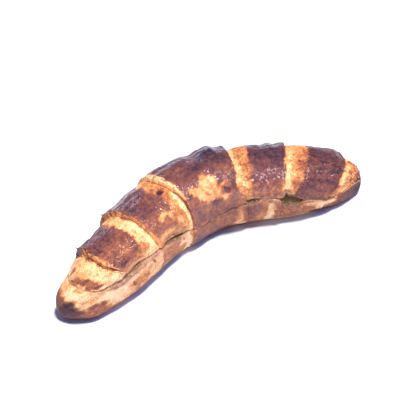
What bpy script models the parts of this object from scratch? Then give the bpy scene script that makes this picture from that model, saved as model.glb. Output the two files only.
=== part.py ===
# A crescent-shaped croissant, cut level from end to end: a lid that rests on its base.
# The roll is a loft along a bent spine. Its surface steps down at the edge of each wrap
# of dough, three times towards each tip, and the knife's cut parts it in two.
# Blender units are metres, +Z is up, the hollow side of the crescent faces -Y.

import math

import bmesh
import bpy
import numpy as np

MM = 0.001

# Seven stations, evenly spaced along the roll from the left tip to the right one.
SPINE_MM = (
    (-101.40, -17.78),
    (-70.30, -15.48),
    (-33.40, 2.42),
    (2.00, 10.22),
    (34.90, 4.02),
    (65.90, -7.68),
    (100.70, -20.28),
)
HALF_WIDTH_MM = (10.4, 17.1, 21.8, 22.7, 21.7, 21.1, 11.0)
HEIGHT_MM = (17.9, 32.8, 36.4, 40.9, 38.0, 32.4, 18.4)
CUT_LEVEL_MM = (17.0, 21.0, 19.6, 15.5, 21.4, 14.5, 10.0)
# Where the knife strayed: place along the roll, half length, rise in mm.
CUT_STRAYS = ((0.205, 0.05, 0.8), (0.890, 0.05, -1.4), (0.975, 0.06, 2.0))

# The roll's cross-section: two superellipse halves that meet at its widest level.
WIDEST_SHARE = 0.42
CROWN_POWER = 2.15
BELLY_POWER = 2.6
FOOT_SHARE = 0.62

# The rounded ends, as shares of the roll's length.
LEFT_ROUND = 0.109
RIGHT_ROUND = 0.090
END_POWER = 2.2
END_HEIGHT_SHARE = 0.5
NOSE_SHARE = 0.14
TOE_LIFT_SHARE = 0.18

# Angles round the section: 0 is the hollow side, 90 the crest, 180 the outer side.
WRAP_ANGLES = (-60.0, 0.0, 25.0, 50.0, 90.0, 150.0)
# Each wrap's edge, as a share of the roll's length at those angles, then how far its lip
# stands out and how deep the dough beyond it lies, in mm. The lip faces the nearer tip.
WRAP_EDGES = (
    {
        "at": (0.195, 0.190, 0.172, 0.148, 0.127, 0.145),
        "lip": (0.1, 0.3, 0.7, 1.2, 2.6, 2.4),
        "sunk": (0.1, 0.4, 0.8, 1.1, 1.5, 2.3),
    },
    {
        "at": (0.262, 0.275, 0.274, 0.272, 0.274, 0.280),
        "lip": (0.1, 0.5, 0.9, 1.0, 1.1, 2.4),
        "sunk": (0.2, 0.6, 1.0, 1.2, 0.8, 0.6),
    },
    {
        "at": (0.398, 0.412, 0.416, 0.418, 0.413, 0.420),
        "lip": (0.2, 0.8, 1.3, 1.4, 1.9, 0.9),
        "sunk": (0.3, 0.7, 1.0, 1.1, 0.7, 0.3),
    },
    {
        "at": (0.645, 0.637, 0.631, 0.620, 0.611, 0.616),
        "lip": (0.1, 0.4, 0.8, 1.2, 1.4, 1.4),
        "sunk": (0.2, 0.5, 0.7, 1.2, 2.1, 3.0),
    },
    {
        "at": (0.735, 0.751, 0.760, 0.770, 0.788, 0.800),
        "lip": (0.2, 0.6, 1.0, 1.0, 0.4, 0.2),
        "sunk": (0.2, 0.5, 0.7, 1.0, 0.8, 0.9),
    },
    {
        "at": (0.868, 0.888, 0.911, 0.935, 0.955, 0.953),
        "lip": (0.2, 0.8, 1.2, 1.6, 1.9, 2.3),
        "sunk": (0.3, 0.9, 1.4, 2.0, 2.7, 3.1),
    },
)
MIDDLE_WRAP = 3
STEP_RUN = 0.0016
CROWN_RISE_MM = 0.9

# The lid begins past the left tip, in an arc round that end: its start at the same angles.
# The tip's crust rises round it in a rim, and the lid's end is rounded and puffed up.
LID_START = (0.112, 0.116, 0.101, 0.074, 0.059, 0.071)
LID_PUFF_MM = 1.8
LID_PUFF_END = 0.125
LID_EDGE_MM = 1.2
LID_ROUND_SHARE = 0.14
RIM_CLEAR = (0.0045, 0.0018)
TIP_CLEAR = 0.0012

# The cut closes to this gap at the outer side and gapes at the hollow side,
# at each place by its middle, its half length (shares of the length) and its opening.
CLOSED_GAP_MM = 0.32
HOLLOW_SIDE_GAP_MM = 0.5
GAPES = (
    (0.090, 0.045, 0.9),
    (0.155, 0.030, 1.0),
    (0.208, 0.034, 1.4),
    (0.336, 0.062, 2.4),
    (0.655, 0.034, 1.5),
    (0.789, 0.044, 4.2),
)
GAPE_POWER = 1.5
BASE_LIP_MAX = 50.0

# Slow unevenness of hand-rolled dough: height, waves along the roll, waves round it, phase.
UNEVEN_WAVES_MM = ((0.30, 5.0, 1.0, 0.4), (0.22, 9.0, 2.0, 2.1), (0.15, 15.0, 3.0, 4.0))

# Local bulges and hollows: place along the roll, angle, half length, half angle, height in mm.
BULGES = (
    (0.095, -35.0, 0.050, 70.0, 1.3),
    (0.075, 125.0, 0.045, 50.0, -1.4),
    (0.440, -35.0, 0.060, 60.0, 0.7),
    (0.560, -35.0, 0.060, 60.0, -0.9),
    (0.760, -35.0, 0.060, 60.0, 0.8),
    (0.860, -35.0, 0.050, 60.0, -1.0),
)

# Mesh rows between neighbouring edges, and columns round each half.
TONGUE_ROWS = (0.0, 0.02, 0.05, 0.09, 0.14, 0.22, 0.34, 0.49, 0.66, 0.84, 1.0)
WRAP_ROWS = (0.0, 0.05, 0.13, 0.24, 0.37, 0.5, 0.63, 0.75, 0.86, 0.94, 1.0)
TAIL_ROWS = (0.03, 0.09, 0.18, 0.30, 0.45, 0.62, 0.78, 0.91, 1.0)
TIP_ROWS = (0.0, 0.12, 0.3, 0.5, 0.68, 0.82, 0.91, 0.965, 1.0)
CROWN_COLUMNS = 17
SIDE_COLUMNS = 7
FOOT_COLUMNS = 3
CUT_COLUMNS = 9

CRUST_COLOUR = (0.36, 0.15, 0.06, 1.0)
CRUMB_COLOUR = (0.72, 0.47, 0.22, 1.0)


def clear_scene():
    for obj in list(bpy.data.objects):
        bpy.data.objects.remove(obj, do_unlink=True)


def smooth(t):
    t = np.clip(t, 0.0, 1.0)
    return t * t * (3.0 - 2.0 * t)


def natural_spline(values, u):
    """A natural cubic spline through evenly spaced values, and its slope, at shares u."""
    values = np.asarray(values, float)
    last = len(values) - 1
    bends = np.zeros_like(values)
    system = 4.0 * np.eye(last - 1) + np.eye(last - 1, k=1) + np.eye(last - 1, k=-1)
    bends[1:-1] = np.linalg.solve(system, 6.0 * np.diff(values, 2, axis=0))
    place = np.clip(np.asarray(u, float), 0.0, 1.0) * last
    index = np.minimum(place.astype(int), last - 1)
    b = place - index
    a = 1.0 - b
    if values.ndim == 2:
        a, b = a[..., None], b[..., None]
    low, high = values[index], values[index + 1]
    low_bend, high_bend = bends[index], bends[index + 1]
    point = a * low + b * high + ((a**3 - a) * low_bend + (b**3 - b) * high_bend) / 6.0
    slope = high - low + ((1 - 3 * a**2) * low_bend + (3 * b**2 - 1) * high_bend) / 6.0
    return point, slope


def quarter_round(t):
    """0 to 1 along a rounded corner."""
    t = np.clip(t, 0.0, 1.0)
    return np.maximum(1.0 - (1.0 - t) ** END_POWER, 0.0) ** (1.0 / END_POWER)


def end_rounding(u):
    """1 along the roll, falling to 0 at each tip."""
    return quarter_round(np.minimum(u / LEFT_ROUND, (1.0 - u) / RIGHT_ROUND))


def section_sizes(u):
    """Half width, lowest level and highest level of the plain roll, in mm."""
    rounding = end_rounding(u)
    half_width = natural_spline(HALF_WIDTH_MM, u)[0] * rounding
    height = natural_spline(HEIGHT_MM, u)[0]
    low = TOE_LIFT_SHARE * height * (1.0 - rounding) ** 1.5
    high = height * (END_HEIGHT_SHARE + (1.0 - END_HEIGHT_SHARE) * rounding)
    nose = quarter_round(np.minimum(u / LEFT_ROUND, (1.0 - u) / RIGHT_ROUND) / NOSE_SHARE)
    middle = low + WIDEST_SHARE * (high - low)
    return half_width, middle + (low - middle) * nose, middle + (high - middle) * nose


def section_point(u, angle):
    """Sideways distance and level of the plain roll's surface at an angle in degrees."""
    half_width, low, high = section_sizes(u)
    widest = low + WIDEST_SHARE * (high - low)
    cosine, sine = np.cos(np.radians(angle)), np.sin(np.radians(angle))
    side = np.sign(np.round(cosine, 9))
    crown = np.abs(cosine) ** (2.0 / CROWN_POWER)
    belly = FOOT_SHARE + (1.0 - FOOT_SHARE) * np.abs(cosine) ** (2.0 / BELLY_POWER)
    sideways = half_width * side * np.where(sine >= 0.0, crown, belly)
    rise = (high - widest) * np.abs(sine) ** (2.0 / CROWN_POWER)
    drop = (widest - low) * np.abs(sine) ** (2.0 / BELLY_POWER)
    return sideways, np.where(sine >= 0.0, widest + rise, widest - drop)


def cut_level(u):
    """The knife's level in mm."""
    level = natural_spline(CUT_LEVEL_MM, u)[0]
    for middle, half_length, rise in CUT_STRAYS:
        level = level + rise * (1.0 - smooth(np.abs(u - middle) / half_length))
    return level


def cut_angle(u):
    """The angle at which the surface meets the knife's level."""
    _, low, high = section_sizes(u)
    level = cut_level(u)
    widest = low + WIDEST_SHARE * (high - low)
    above = np.clip((level - widest) / np.maximum(high - widest, 1e-6), 0.0, 0.9995)
    below = np.clip((widest - level) / np.maximum(widest - low, 1e-6), 0.0, 0.9995)
    up = np.degrees(np.arcsin(above ** (CROWN_POWER / 2.0)))
    down = np.degrees(np.arcsin(below ** (BELLY_POWER / 2.0)))
    return np.where(level >= widest, up, -down)


def round_angle(angle):
    """The angle folded so that the outer side below the cut reads as beyond the crest."""
    return np.where(np.asarray(angle) < -90.0, np.asarray(angle) + 360.0, angle)


def at_angle(values, angle):
    """A smooth curve through values given at the wrap angles."""
    x = np.asarray(WRAP_ANGLES)
    y = np.asarray(values, float)
    slope = np.gradient(y, x)
    a = np.clip(round_angle(angle), x[0], x[-1])
    i = np.clip(np.searchsorted(x, a) - 1, 0, len(x) - 2)
    width = x[i + 1] - x[i]
    t = (a - x[i]) / width
    rise = t * t * (3.0 - 2.0 * t)
    bend = width * (slope[i] * t * (1.0 - t) ** 2 - slope[i + 1] * t * t * (1.0 - t))
    return y[i] * (1.0 - rise) + y[i + 1] * rise + bend


def edge_place(index, angle):
    """Where along the roll boundary number index lies: 0 is the lid's start, 7 the right end."""
    if index == 0:
        return at_angle(LID_START, angle)
    if index == len(WRAP_EDGES) + 1:
        return np.full(np.shape(angle), 1.0 - TIP_CLEAR)
    return at_angle(WRAP_EDGES[index - 1]["at"], angle)


def lip_rise(index, angle):
    return np.maximum(at_angle(WRAP_EDGES[index - 1]["lip"], angle), 0.0)


def sunk_depth(index, angle):
    """How deep the dough just beyond a lip lies."""
    return np.maximum(at_angle(WRAP_EDGES[index - 1]["sunk"], angle), 0.0)


def wrap_relief(wrap, t, u, angle):
    """The surface's offset in mm inside one wrap, at share t from its left edge."""
    lips = len(WRAP_EDGES)
    rise = np.zeros(np.broadcast(t, angle).shape)
    if wrap < MIDDLE_WRAP:
        outward = 1.0 - t
        if wrap > 0:
            rise = rise + lip_rise(wrap, angle) * np.clip((outward - 0.35) / 0.65, 0, 1) ** 2
        rise = rise - sunk_depth(wrap + 1, angle) * np.clip(1 - t_inward(outward), 0, 1) ** 2
    elif wrap > MIDDLE_WRAP:
        outward = t
        if wrap < lips:
            rise = rise + lip_rise(wrap + 1, angle) * np.clip((outward - 0.35) / 0.65, 0, 1) ** 2
        rise = rise - sunk_depth(wrap, angle) * np.clip(1 - t_inward(outward), 0, 1) ** 2
    else:
        left = lip_rise(wrap, angle) * np.clip(1.0 - t / 0.45, 0, 1) ** 1.5
        right = lip_rise(wrap + 1, angle) * np.clip((t - 0.5) / 0.5, 0, 1) ** 1.5
        crown = CROWN_RISE_MM * np.sin(math.pi * np.clip(t, 0, 1)) * np.cos(np.radians(angle - 90.0)) ** 2
        rise = rise + left + right + crown
    for height, along, around, phase in UNEVEN_WAVES_MM:
        wave = np.sin(2 * math.pi * along * u + phase) * np.cos(around * np.radians(angle) + phase)
        rise = rise + height * wave
    for middle, side, half_length, half_angle, height in BULGES:
        away = np.hypot((u - middle) / half_length, (round_angle(angle) - side) / half_angle)
        rise = rise + height * (1.0 - smooth(away))
    return rise * end_rounding(u)


def t_inward(outward):
    """How far out of the sunk strip below its neighbour's lip the dough has risen."""
    return outward / 0.45


def wrap_place(wrap, t, angle):
    """Place along the roll at share t of one wrap."""
    start, end = edge_place(wrap, angle), edge_place(wrap + 1, angle)
    if wrap > 0:
        start = start + STEP_RUN / 2.0
    if wrap < len(WRAP_EDGES):
        end = end - STEP_RUN / 2.0
    return start + (end - start) * t


def crust_point(wrap, t, u, angle):
    """Sideways distance and level of the crust, in mm."""
    sideways, level = section_point(u, angle)
    rise = wrap_relief(wrap, t, u, angle)
    turn = np.radians(angle)
    lift = rise * np.sin(turn) * smooth((level - 2.0) / 8.0)
    return sideways + rise * np.cos(turn), level + lift


def gap_at(u, sideways):
    """The cut's opening in mm: least at the outer side, most at the hollow side."""
    half_width = np.maximum(section_sizes(u)[0], 1.0)
    opening = np.full(np.shape(u), HOLLOW_SIDE_GAP_MM)
    for middle, half_length, most in GAPES:
        lobe = 1.0 - smooth(np.abs(u - middle) / half_length)
        opening = np.maximum(opening, HOLLOW_SIDE_GAP_MM + (most - HOLLOW_SIDE_GAP_MM) * lobe)
    share = np.clip((sideways / half_width + 1.0) / 2.0, 0.0, 1.0) ** GAPE_POWER
    return CLOSED_GAP_MM + (opening - CLOSED_GAP_MM) * share


def place(u, sideways, level):
    """World points in metres."""
    centre, slope = natural_spline(SPINE_MM, u)
    length = np.hypot(slope[..., 0], slope[..., 1])
    near_x, near_y = slope[..., 1] / length, -slope[..., 0] / length
    x = centre[..., 0] + near_x * sideways
    y = centre[..., 1] + near_y * sideways
    return np.stack([x, y, level], axis=-1) * MM


def lip_angle(wrap, t, outer):
    """The angle at which a row meets the cut, found by correcting its place twice."""
    angle = 150.0 if outer else 30.0
    for _ in range(3):
        angle = float(cut_angle(wrap_place(wrap, t, np.asarray(angle))))
        angle = 180.0 - angle if outer else angle
    return angle


def lid_row(wrap, t):
    """One closed ring of the lid: over its crown, then back along the cut."""
    angle = np.linspace(lip_angle(wrap, t, False), lip_angle(wrap, t, True), CROWN_COLUMNS)
    u = wrap_place(wrap, t, angle)
    sideways, level = crust_point(wrap, t, u, angle)
    knife = cut_level(u) + gap_at(u, sideways) / 2.0
    if wrap == 0:
        level = level + LID_PUFF_MM * (1.0 - smooth(u / LID_PUFF_END)) * np.sin(np.radians(angle))
        inward = np.clip(t / LID_ROUND_SHARE, 0.0, 1.0)
        full = np.sqrt(1.0 - (1.0 - inward) ** 2)
        edge = np.minimum(LID_EDGE_MM, level - knife)
        level = knife + edge + (level - knife - edge) * full
    level = np.maximum(level, knife + 0.4)
    level[[0, -1]] = knife[[0, -1]]
    crown = place(u, sideways, level)
    cut = place(u, sideways, knife)[1:-1][::-1]
    return np.concatenate([crown, cut])


def base_row(wrap, t, tip_share=None, cut=True):
    """One closed ring of the base: down its side, along its foot, up, and over the top."""
    near = min(lip_angle(wrap, t, False), BASE_LIP_MAX)
    far = min(180.0 - lip_angle(wrap, t, True), BASE_LIP_MAX)
    down = np.linspace(near, -90.0, SIDE_COLUMNS)
    up = np.linspace(-90.0, far, SIDE_COLUMNS)
    down[-1] = up[0] = -89.999
    over = np.linspace(180.0 - far, near, CUT_COLUMNS + 2)[1:-1]
    angle = np.concatenate([down, -180.0 - up, over])
    u = wrap_place(wrap, t, angle)
    if tip_share is not None:
        u = (u - RIM_CLEAR[1 if cut else 0]) * tip_share
    sideways, level = crust_point(wrap, t, u, angle)
    if cut:
        level = np.minimum(level, cut_level(u) - gap_at(u, sideways) / 2.0)
    ring = place(u, sideways, level)
    share = np.linspace(0.0, 1.0, FOOT_COLUMNS + 2)[1:-1, None]
    left, right = ring[SIDE_COLUMNS - 1], ring[SIDE_COLUMNS]
    foot = left * (1.0 - share) + right * share
    return np.concatenate([ring[:SIDE_COLUMNS], foot, ring[SIDE_COLUMNS:]])


def crust_material(name, colour, roughness):
    material = bpy.data.materials.new(name)
    material.use_nodes = True
    shader = material.node_tree.nodes["Principled BSDF"]
    shader.inputs["Base Color"].default_value = colour
    shader.inputs["Roughness"].default_value = roughness
    shader.inputs["Metallic"].default_value = 0.0
    return material


def loft(name, rings, material, collection):
    """Skins a row of closed rings with faces that point out, and closes both ends."""
    mesh = bpy.data.meshes.new(name)
    grid = bmesh.new()
    rows = [[grid.verts.new(point) for point in ring] for ring in rings]
    count = len(rows[0])
    for this, following in zip(rows, rows[1:]):
        for i in range(count):
            j = (i + 1) % count
            grid.faces.new((this[i], following[i], following[j], this[j]))
    for ring in (rows[0], rows[-1]):
        middle = grid.verts.new(sum((v.co for v in ring[1:]), ring[0].co.copy()) / count)
        for i in range(count):
            grid.faces.new((ring[i], ring[(i + 1) % count], middle))
    bmesh.ops.recalc_face_normals(grid, faces=grid.faces)
    bmesh.ops.triangulate(grid, faces=grid.faces)
    grid.to_mesh(mesh)
    grid.free()
    mesh.shade_smooth()
    mesh.set_sharp_from_angle(angle=math.radians(40.0))
    obj = bpy.data.objects.new(name, mesh)
    obj.data.materials.append(material)
    collection.objects.link(obj)
    return obj


def lid_rings():
    rings = [lid_row(0, t) for t in TONGUE_ROWS]
    for wrap in range(1, len(WRAP_EDGES)):
        rings += [lid_row(wrap, t) for t in WRAP_ROWS]
    rings += [lid_row(len(WRAP_EDGES), t) for t in TIP_ROWS]
    return rings


def base_rings():
    rings = [base_row(0, 0.0, tip_share=share, cut=False) for share in TAIL_ROWS]
    rings.append(base_row(0, 0.0, tip_share=1.0))
    rings += [base_row(0, t) for t in TONGUE_ROWS[3:]]
    for wrap in range(1, len(WRAP_EDGES)):
        rings += [base_row(wrap, t) for t in WRAP_ROWS]
    rings += [base_row(len(WRAP_EDGES), t) for t in TIP_ROWS]
    return rings


def main():
    clear_scene()
    collection = bpy.data.collections.new("croissant")
    bpy.context.scene.collection.children.link(collection)
    crust = crust_material("baked_crust", CRUST_COLOUR, 0.45)
    crumb = crust_material("pale_crust", CRUMB_COLOUR, 0.7)
    loft("croissant_lid", lid_rings(), crust, collection)
    loft("croissant_base", base_rings(), crumb, collection)


if __name__ == "__main__":
    main()
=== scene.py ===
# A slender croissant cut level from end to end, its lid resting on its base.
# Both halves are lofts along one bent spine. Names ending in _MM are millimetres, the
# rest are metres, degrees or shares of the roll's length from the left tip to the right.

import math

import bmesh
import bpy
import numpy as np
from mathutils import Matrix, Vector


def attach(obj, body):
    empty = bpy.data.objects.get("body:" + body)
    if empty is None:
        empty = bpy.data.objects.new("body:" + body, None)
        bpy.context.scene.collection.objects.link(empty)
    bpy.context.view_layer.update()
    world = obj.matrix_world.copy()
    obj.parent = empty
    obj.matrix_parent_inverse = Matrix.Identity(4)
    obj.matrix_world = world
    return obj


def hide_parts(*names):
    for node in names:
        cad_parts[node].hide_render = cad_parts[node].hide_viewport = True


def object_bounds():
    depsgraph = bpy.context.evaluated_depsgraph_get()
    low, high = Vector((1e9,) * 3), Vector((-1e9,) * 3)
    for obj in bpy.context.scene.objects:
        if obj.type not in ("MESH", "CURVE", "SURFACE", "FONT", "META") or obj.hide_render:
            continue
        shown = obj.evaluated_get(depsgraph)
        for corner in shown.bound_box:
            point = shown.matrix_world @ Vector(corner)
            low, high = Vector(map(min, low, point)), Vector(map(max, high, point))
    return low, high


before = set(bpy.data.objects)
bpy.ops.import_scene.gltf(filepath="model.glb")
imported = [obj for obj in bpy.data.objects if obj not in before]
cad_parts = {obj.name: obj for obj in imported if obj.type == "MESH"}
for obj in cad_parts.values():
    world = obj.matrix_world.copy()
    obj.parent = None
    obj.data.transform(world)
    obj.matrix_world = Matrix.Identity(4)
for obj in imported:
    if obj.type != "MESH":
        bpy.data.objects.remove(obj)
CAD_BOX = [list(corner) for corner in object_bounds()]
MM = 0.001
COARSE = 1.0

# The roll: the sizes of the solids, with more dents, swellings and torn lips

# the bent middle line, and the half widths, heights and cut levels evenly spaced along it
SPINE_MM = (
    (-101.40, -17.78),
    (-70.30, -15.48),
    (-33.40, 2.42),
    (2.00, 10.22),
    (34.90, 4.02),
    (65.90, -7.68),
    (100.70, -20.28),
)
ROLL_LENGTH_MM = 212.0
HALF_WIDTH_MM = (10.4, 17.1, 21.8, 22.7, 21.7, 21.1, 11.0)
HEIGHT_MM = (17.9, 32.8, 36.4, 40.9, 38.0, 32.4, 18.4)
CUT_LEVEL_MM = (17.0, 21.0, 19.6, 15.5, 21.4, 14.5, 10.0)
# where the knife strayed up or down: middle, half length, mm
CUT_STRAYS = ((0.205, 0.05, 0.8), (0.890, 0.05, -1.4), (0.975, 0.06, 2.0))
# the section: how high up it is widest, and how full its crown, belly and flat foot are
WIDEST_SHARE = 0.42
CROWN_POWER = 2.15
BELLY_POWER = 2.6
FOOT_SHARE = 0.62
# the ends: how far in they are rounded, how blunt they are and how far the toes lift
LEFT_ROUND = 0.109
RIGHT_ROUND = 0.090
END_POWER = 2.2
END_HEIGHT_SHARE = 0.5
NOSE_SHARE = 0.14
TOE_LIFT_SHARE = 0.18

# Angles round the section: 0 is the near side, 90 the crest, 180 the far side. Every row
# of six values is given at these angles.
WRAP_ANGLES = (-60.0, 0.0, 25.0, 50.0, 90.0, 150.0)
# the wraps' edges from left to right: place, height of the lip, depth of the crust beside
# it and how ragged the edge is
WRAP_EDGES = (
    {
        "at": (0.195, 0.190, 0.174, 0.151, 0.131, 0.145),
        "lip": (0.0, 0.0, 0.2, 1.1, 2.4, 2.4),
        "sunk": (0.0, 0.0, 0.1, 0.8, 1.4, 2.3),
        "ragged": (0.2, 0.3, 0.7, 0.9, 1.0, 1.0),
    },
    {
        "at": (0.262, 0.275, 0.274, 0.272, 0.274, 0.280),
        "lip": (0.1, 0.2, 0.6, 1.0, 1.1, 2.4),
        "sunk": (0.1, 0.2, 0.6, 1.0, 0.8, 0.6),
        "ragged": (0.1, 0.2, 0.3, 0.4, 0.8, 1.2),
    },
    {
        "at": (0.398, 0.412, 0.416, 0.416, 0.399, 0.402),
        "lip": (0.2, 0.8, 1.3, 1.4, 1.9, 0.9),
        "sunk": (0.3, 0.7, 1.0, 1.1, 0.7, 0.3),
        "ragged": (0.1, 0.2, 0.3, 0.9, 0.7, 0.5),
    },
    {
        "at": (0.645, 0.640, 0.636, 0.624, 0.616, 0.617),
        "lip": (0.1, 0.4, 0.8, 1.2, 1.4, 1.4),
        "sunk": (0.2, 0.5, 0.7, 1.2, 2.1, 3.0),
        "ragged": (0.1, 0.15, 0.15, 0.15, 0.2, 0.3),
    },
    {
        "at": (0.735, 0.753, 0.764, 0.774, 0.789, 0.800),
        "lip": (0.2, 0.6, 1.0, 1.0, 0.4, 0.2),
        "sunk": (0.2, 0.5, 0.7, 1.0, 0.8, 0.9),
        "ragged": (0.2, 0.3, 0.2, 0.15, 0.15, 0.3),
    },
    {
        "at": (0.868, 0.888, 0.911, 0.935, 0.955, 0.953),
        "lip": (0.2, 0.8, 1.2, 1.6, 1.9, 2.3),
        "sunk": (0.3, 0.9, 1.4, 2.0, 2.7, 3.1),
        "ragged": (0.3, 0.4, 0.5, 0.3, 0.3, 0.4),
    },
)
MIDDLE_WRAP = 3
STEP_RUN = 0.0014
# the shares of a wrap in which it rises to its lip and sinks beside the next wrap's
LIP_FROM = 0.35
SINK_REACH = 0.45
MIDDLE_LEFT_REACH = 0.45
MIDDLE_RIGHT_FROM = 0.5
CROWN_RISE_MM = 0.9
# the lid's end on the left tip: where it starts, how it puffs up and how its rim is rounded
LID_START = (0.112, 0.116, 0.101, 0.074, 0.059, 0.071)
LID_PUFF_MM = 1.8
LID_PUFF_END = 0.125
LID_EDGE_MM = 0.7
LID_STEP_MM = 2.2
LID_ROUND_SHARE = 0.22
# how far the tip's rim runs in under the lid, and the share of the end wrap that this takes
RIM_CLEAR = (-0.0034, -0.0040)
RIM_ROWS = 0.07
TIP_CLEAR = 0.0012
# the first rows of the left tip, as shares of the way to the lid's end
TIP_ROWS = (0.012, 0.03)
CLOSED_GAP_MM = 0.32
HOLLOW_SIDE_GAP_MM = 0.4
# where the cut gapes: middle, half length, mm
GAPES = (
    (0.155, 0.030, 0.3),
    (0.203, 0.026, 1.3),
    (0.302, 0.044, 1.7),
    (0.345, 0.056, 2.2),
    (0.500, 0.110, 0.7),
    (0.660, 0.040, 2.6),
    (0.768, 0.024, 7.2),
    (0.790, 0.040, 5.2),
)
GAPE_POWER = 4.0
BASE_LIP_MAX = 50.0
# slow waves of the whole roll: mm high, waves along, waves around, phase
UNEVEN_WAVES_MM = ((0.30, 5.0, 1.0, 0.4), (0.22, 9.0, 2.0, 2.1), (0.15, 15.0, 3.0, 4.0))
# swellings, and dents below zero: place along, angle, half length, half angle, mm high
BULGES = (
    # the low near side
    (0.030, -80.0, 0.070, 50.0, -2.6),
    (0.090, -35.0, 0.050, 70.0, 1.1),
    (0.200, -70.0, 0.140, 40.0, -5.8),
    (0.440, -35.0, 0.060, 60.0, 0.7),
    (0.560, -35.0, 0.060, 60.0, -0.9),
    (0.590, -72.0, 0.110, 38.0, -2.2),
    (0.760, -35.0, 0.060, 60.0, 0.8),
    (0.860, -35.0, 0.050, 60.0, -1.0),
    (0.985, -40.0, 0.020, 40.0, 0.8),
    # the crest and the far side
    (0.050, 112.0, 0.030, 60.0, -1.0),
    (0.075, 125.0, 0.045, 50.0, -1.8),
    (0.178, 128.0, 0.036, 46.0, 1.3),
    (0.318, 130.0, 0.034, 40.0, -1.0),
    (0.378, 130.0, 0.024, 40.0, -0.6),
    (0.432, 125.0, 0.018, 36.0, 0.6),
    (0.526, 120.0, 0.028, 42.0, -1.9),
    (0.574, 118.0, 0.024, 42.0, 1.7),
    (0.728, 125.0, 0.020, 36.0, -0.9),
    (0.766, 127.0, 0.022, 34.0, -0.9),
    (0.953, 108.0, 0.020, 40.0, -2.2),
    (0.988, 82.0, 0.020, 36.0, 1.0),
)

# Fine form

# the meshes' rows along the roll, counted at one angle and drawn in towards the wraps' edges
ROW_STEP_MM = 0.50
ROW_ANGLE = 70.0
ROWS_DRAWN_IN = 0.55
# and their columns round it
CROWN_COLUMNS = 158
LID_CUT_COLUMNS = 34
NEAR_SIDE_COLUMNS = 44
FAR_SIDE_COLUMNS = 30
FOOT_COLUMNS = 10
TOP_COLUMNS = 44
BOTTOM_ANGLE = -89.999
AROUND_MM_PER_DEGREE = 0.42
# a torn edge wanders at these lengths, in these shares
RAGGED_SHARES = (0.65, 0.35)
RAGGED_LENGTH_MM = (5.0, 1.6)
# how far a wrap's lip stands clear of the crust beside it; below zero it overhangs
STEP_CLEAR_MM = (0.3, 0.3, 0.15, -0.35, -0.45, 0.3)
# where the lid's near lip is drawn back from the base's: middle, half length, mm
DRAWN_BACK = (
    (0.125, 0.050, 1.2),
    (0.205, 0.060, 1.5),
    (0.335, 0.075, 2.2),
    (0.660, 0.045, 1.5),
    (0.785, 0.050, 2.4),
)
# where the base's near lip stands out: middle, half length, mm
PROUD_LIP = ((0.230, 0.150, 0.7), (0.350, 0.070, 0.5), (0.860, 0.060, 0.5))
LIP_REACH_MM = 5.0
LEAST_LID_MM = 0.25
# how wide the torn crumb shows at each lip: middle, half length, mm
CRUMB_EDGES = (
    (0.090, 0.060, 1.0),
    (0.180, 0.080, 1.0),
    (0.240, 0.060, 0.8),
    (0.335, 0.075, 0.6),
    (0.665, 0.050, 0.8),
    (0.780, 0.070, 0.8),
)
BASE_CRUMB_EDGES = (
    (0.090, 0.060, 1.2),
    (0.170, 0.090, 2.3),
    (0.240, 0.060, 2.0),
    (0.325, 0.065, 2.2),
    (0.655, 0.050, 0.7),
    (0.720, 0.040, 2.2),
    (0.768, 0.045, 0.8),
    (0.870, 0.050, 0.9),
)
# where the cut face is painted darker as the lid's shade: middle, half length, how deep the painted
# shade is
SHADED_CUT = (
    (0.175, 0.050, 0.5),
    (0.196, 0.026, 0.7),
    (0.325, 0.060, 1.3),
    (0.655, 0.045, 2.4),
    (0.700, 0.030, 0.6),
    (0.780, 0.045, 4.0),
)
# how ragged the cut's near lips are, and how much the torn crumb's width varies with it
TORN_LIP_MM = 0.45
TORN_LIP_SWAY = 0.6
# the cut face keeps its own colour this far in from its lip, and then is painted darker as shade over
# this far
LIT_INSIDE_MM = 0.6
DARK_INSIDE_MM = 2.0
CUT_FACE_BAKE = 0.15
# how far pores may cut into the lid's face and crumbs stand up from the base's
LID_PORE_MM = 0.1
BASE_CRUMB_MM = 0.05
# the groove round the lid's end: where it starts on the tip, how deep it is, how far below
# the cut it may run and how much crumb colour it takes, partly crumb and partly painted shade
GROOVE_START = 0.64
GROOVE_MM = 1.5
GROOVE_BELOW_CUT_MM = 3.0
GROOVE_CRUMB_AND_SHADE = 0.55
# how the rim of the lid's end wanders, and over what length
LID_START_RAGGED_MM = 0.7
LID_START_RAGGED_LENGTH_MM = 3.0
# where the seam sags below the knife's line as the crust settled: middle, half length, mm
SEAM_DROPS = ((0.140, 0.090, 1.3), (0.335, 0.060, 0.6), (0.655, 0.060, 1.0))
LID_GAP_SHARE = 0.25

# Bake: how brown the crust is, from 0, pale dough, to 1, nearly burnt

# A brown band lies inside each wrap and ends sharply at the lip. Its other side fades to
# pale at these shares of the length; the middle wrap's band has no pale side.
BAND_FADES = {
    1: (0.190, 0.215, 0.234, 0.234, 0.241, 0.256),
    2: (0.370, 0.374, 0.374, 0.372, 0.367, 0.370),
    4: (0.655, 0.655, 0.658, 0.664, 0.672, 0.684),
    5: (0.770, 0.780, 0.803, 0.825, 0.852, 0.862),
}
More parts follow.
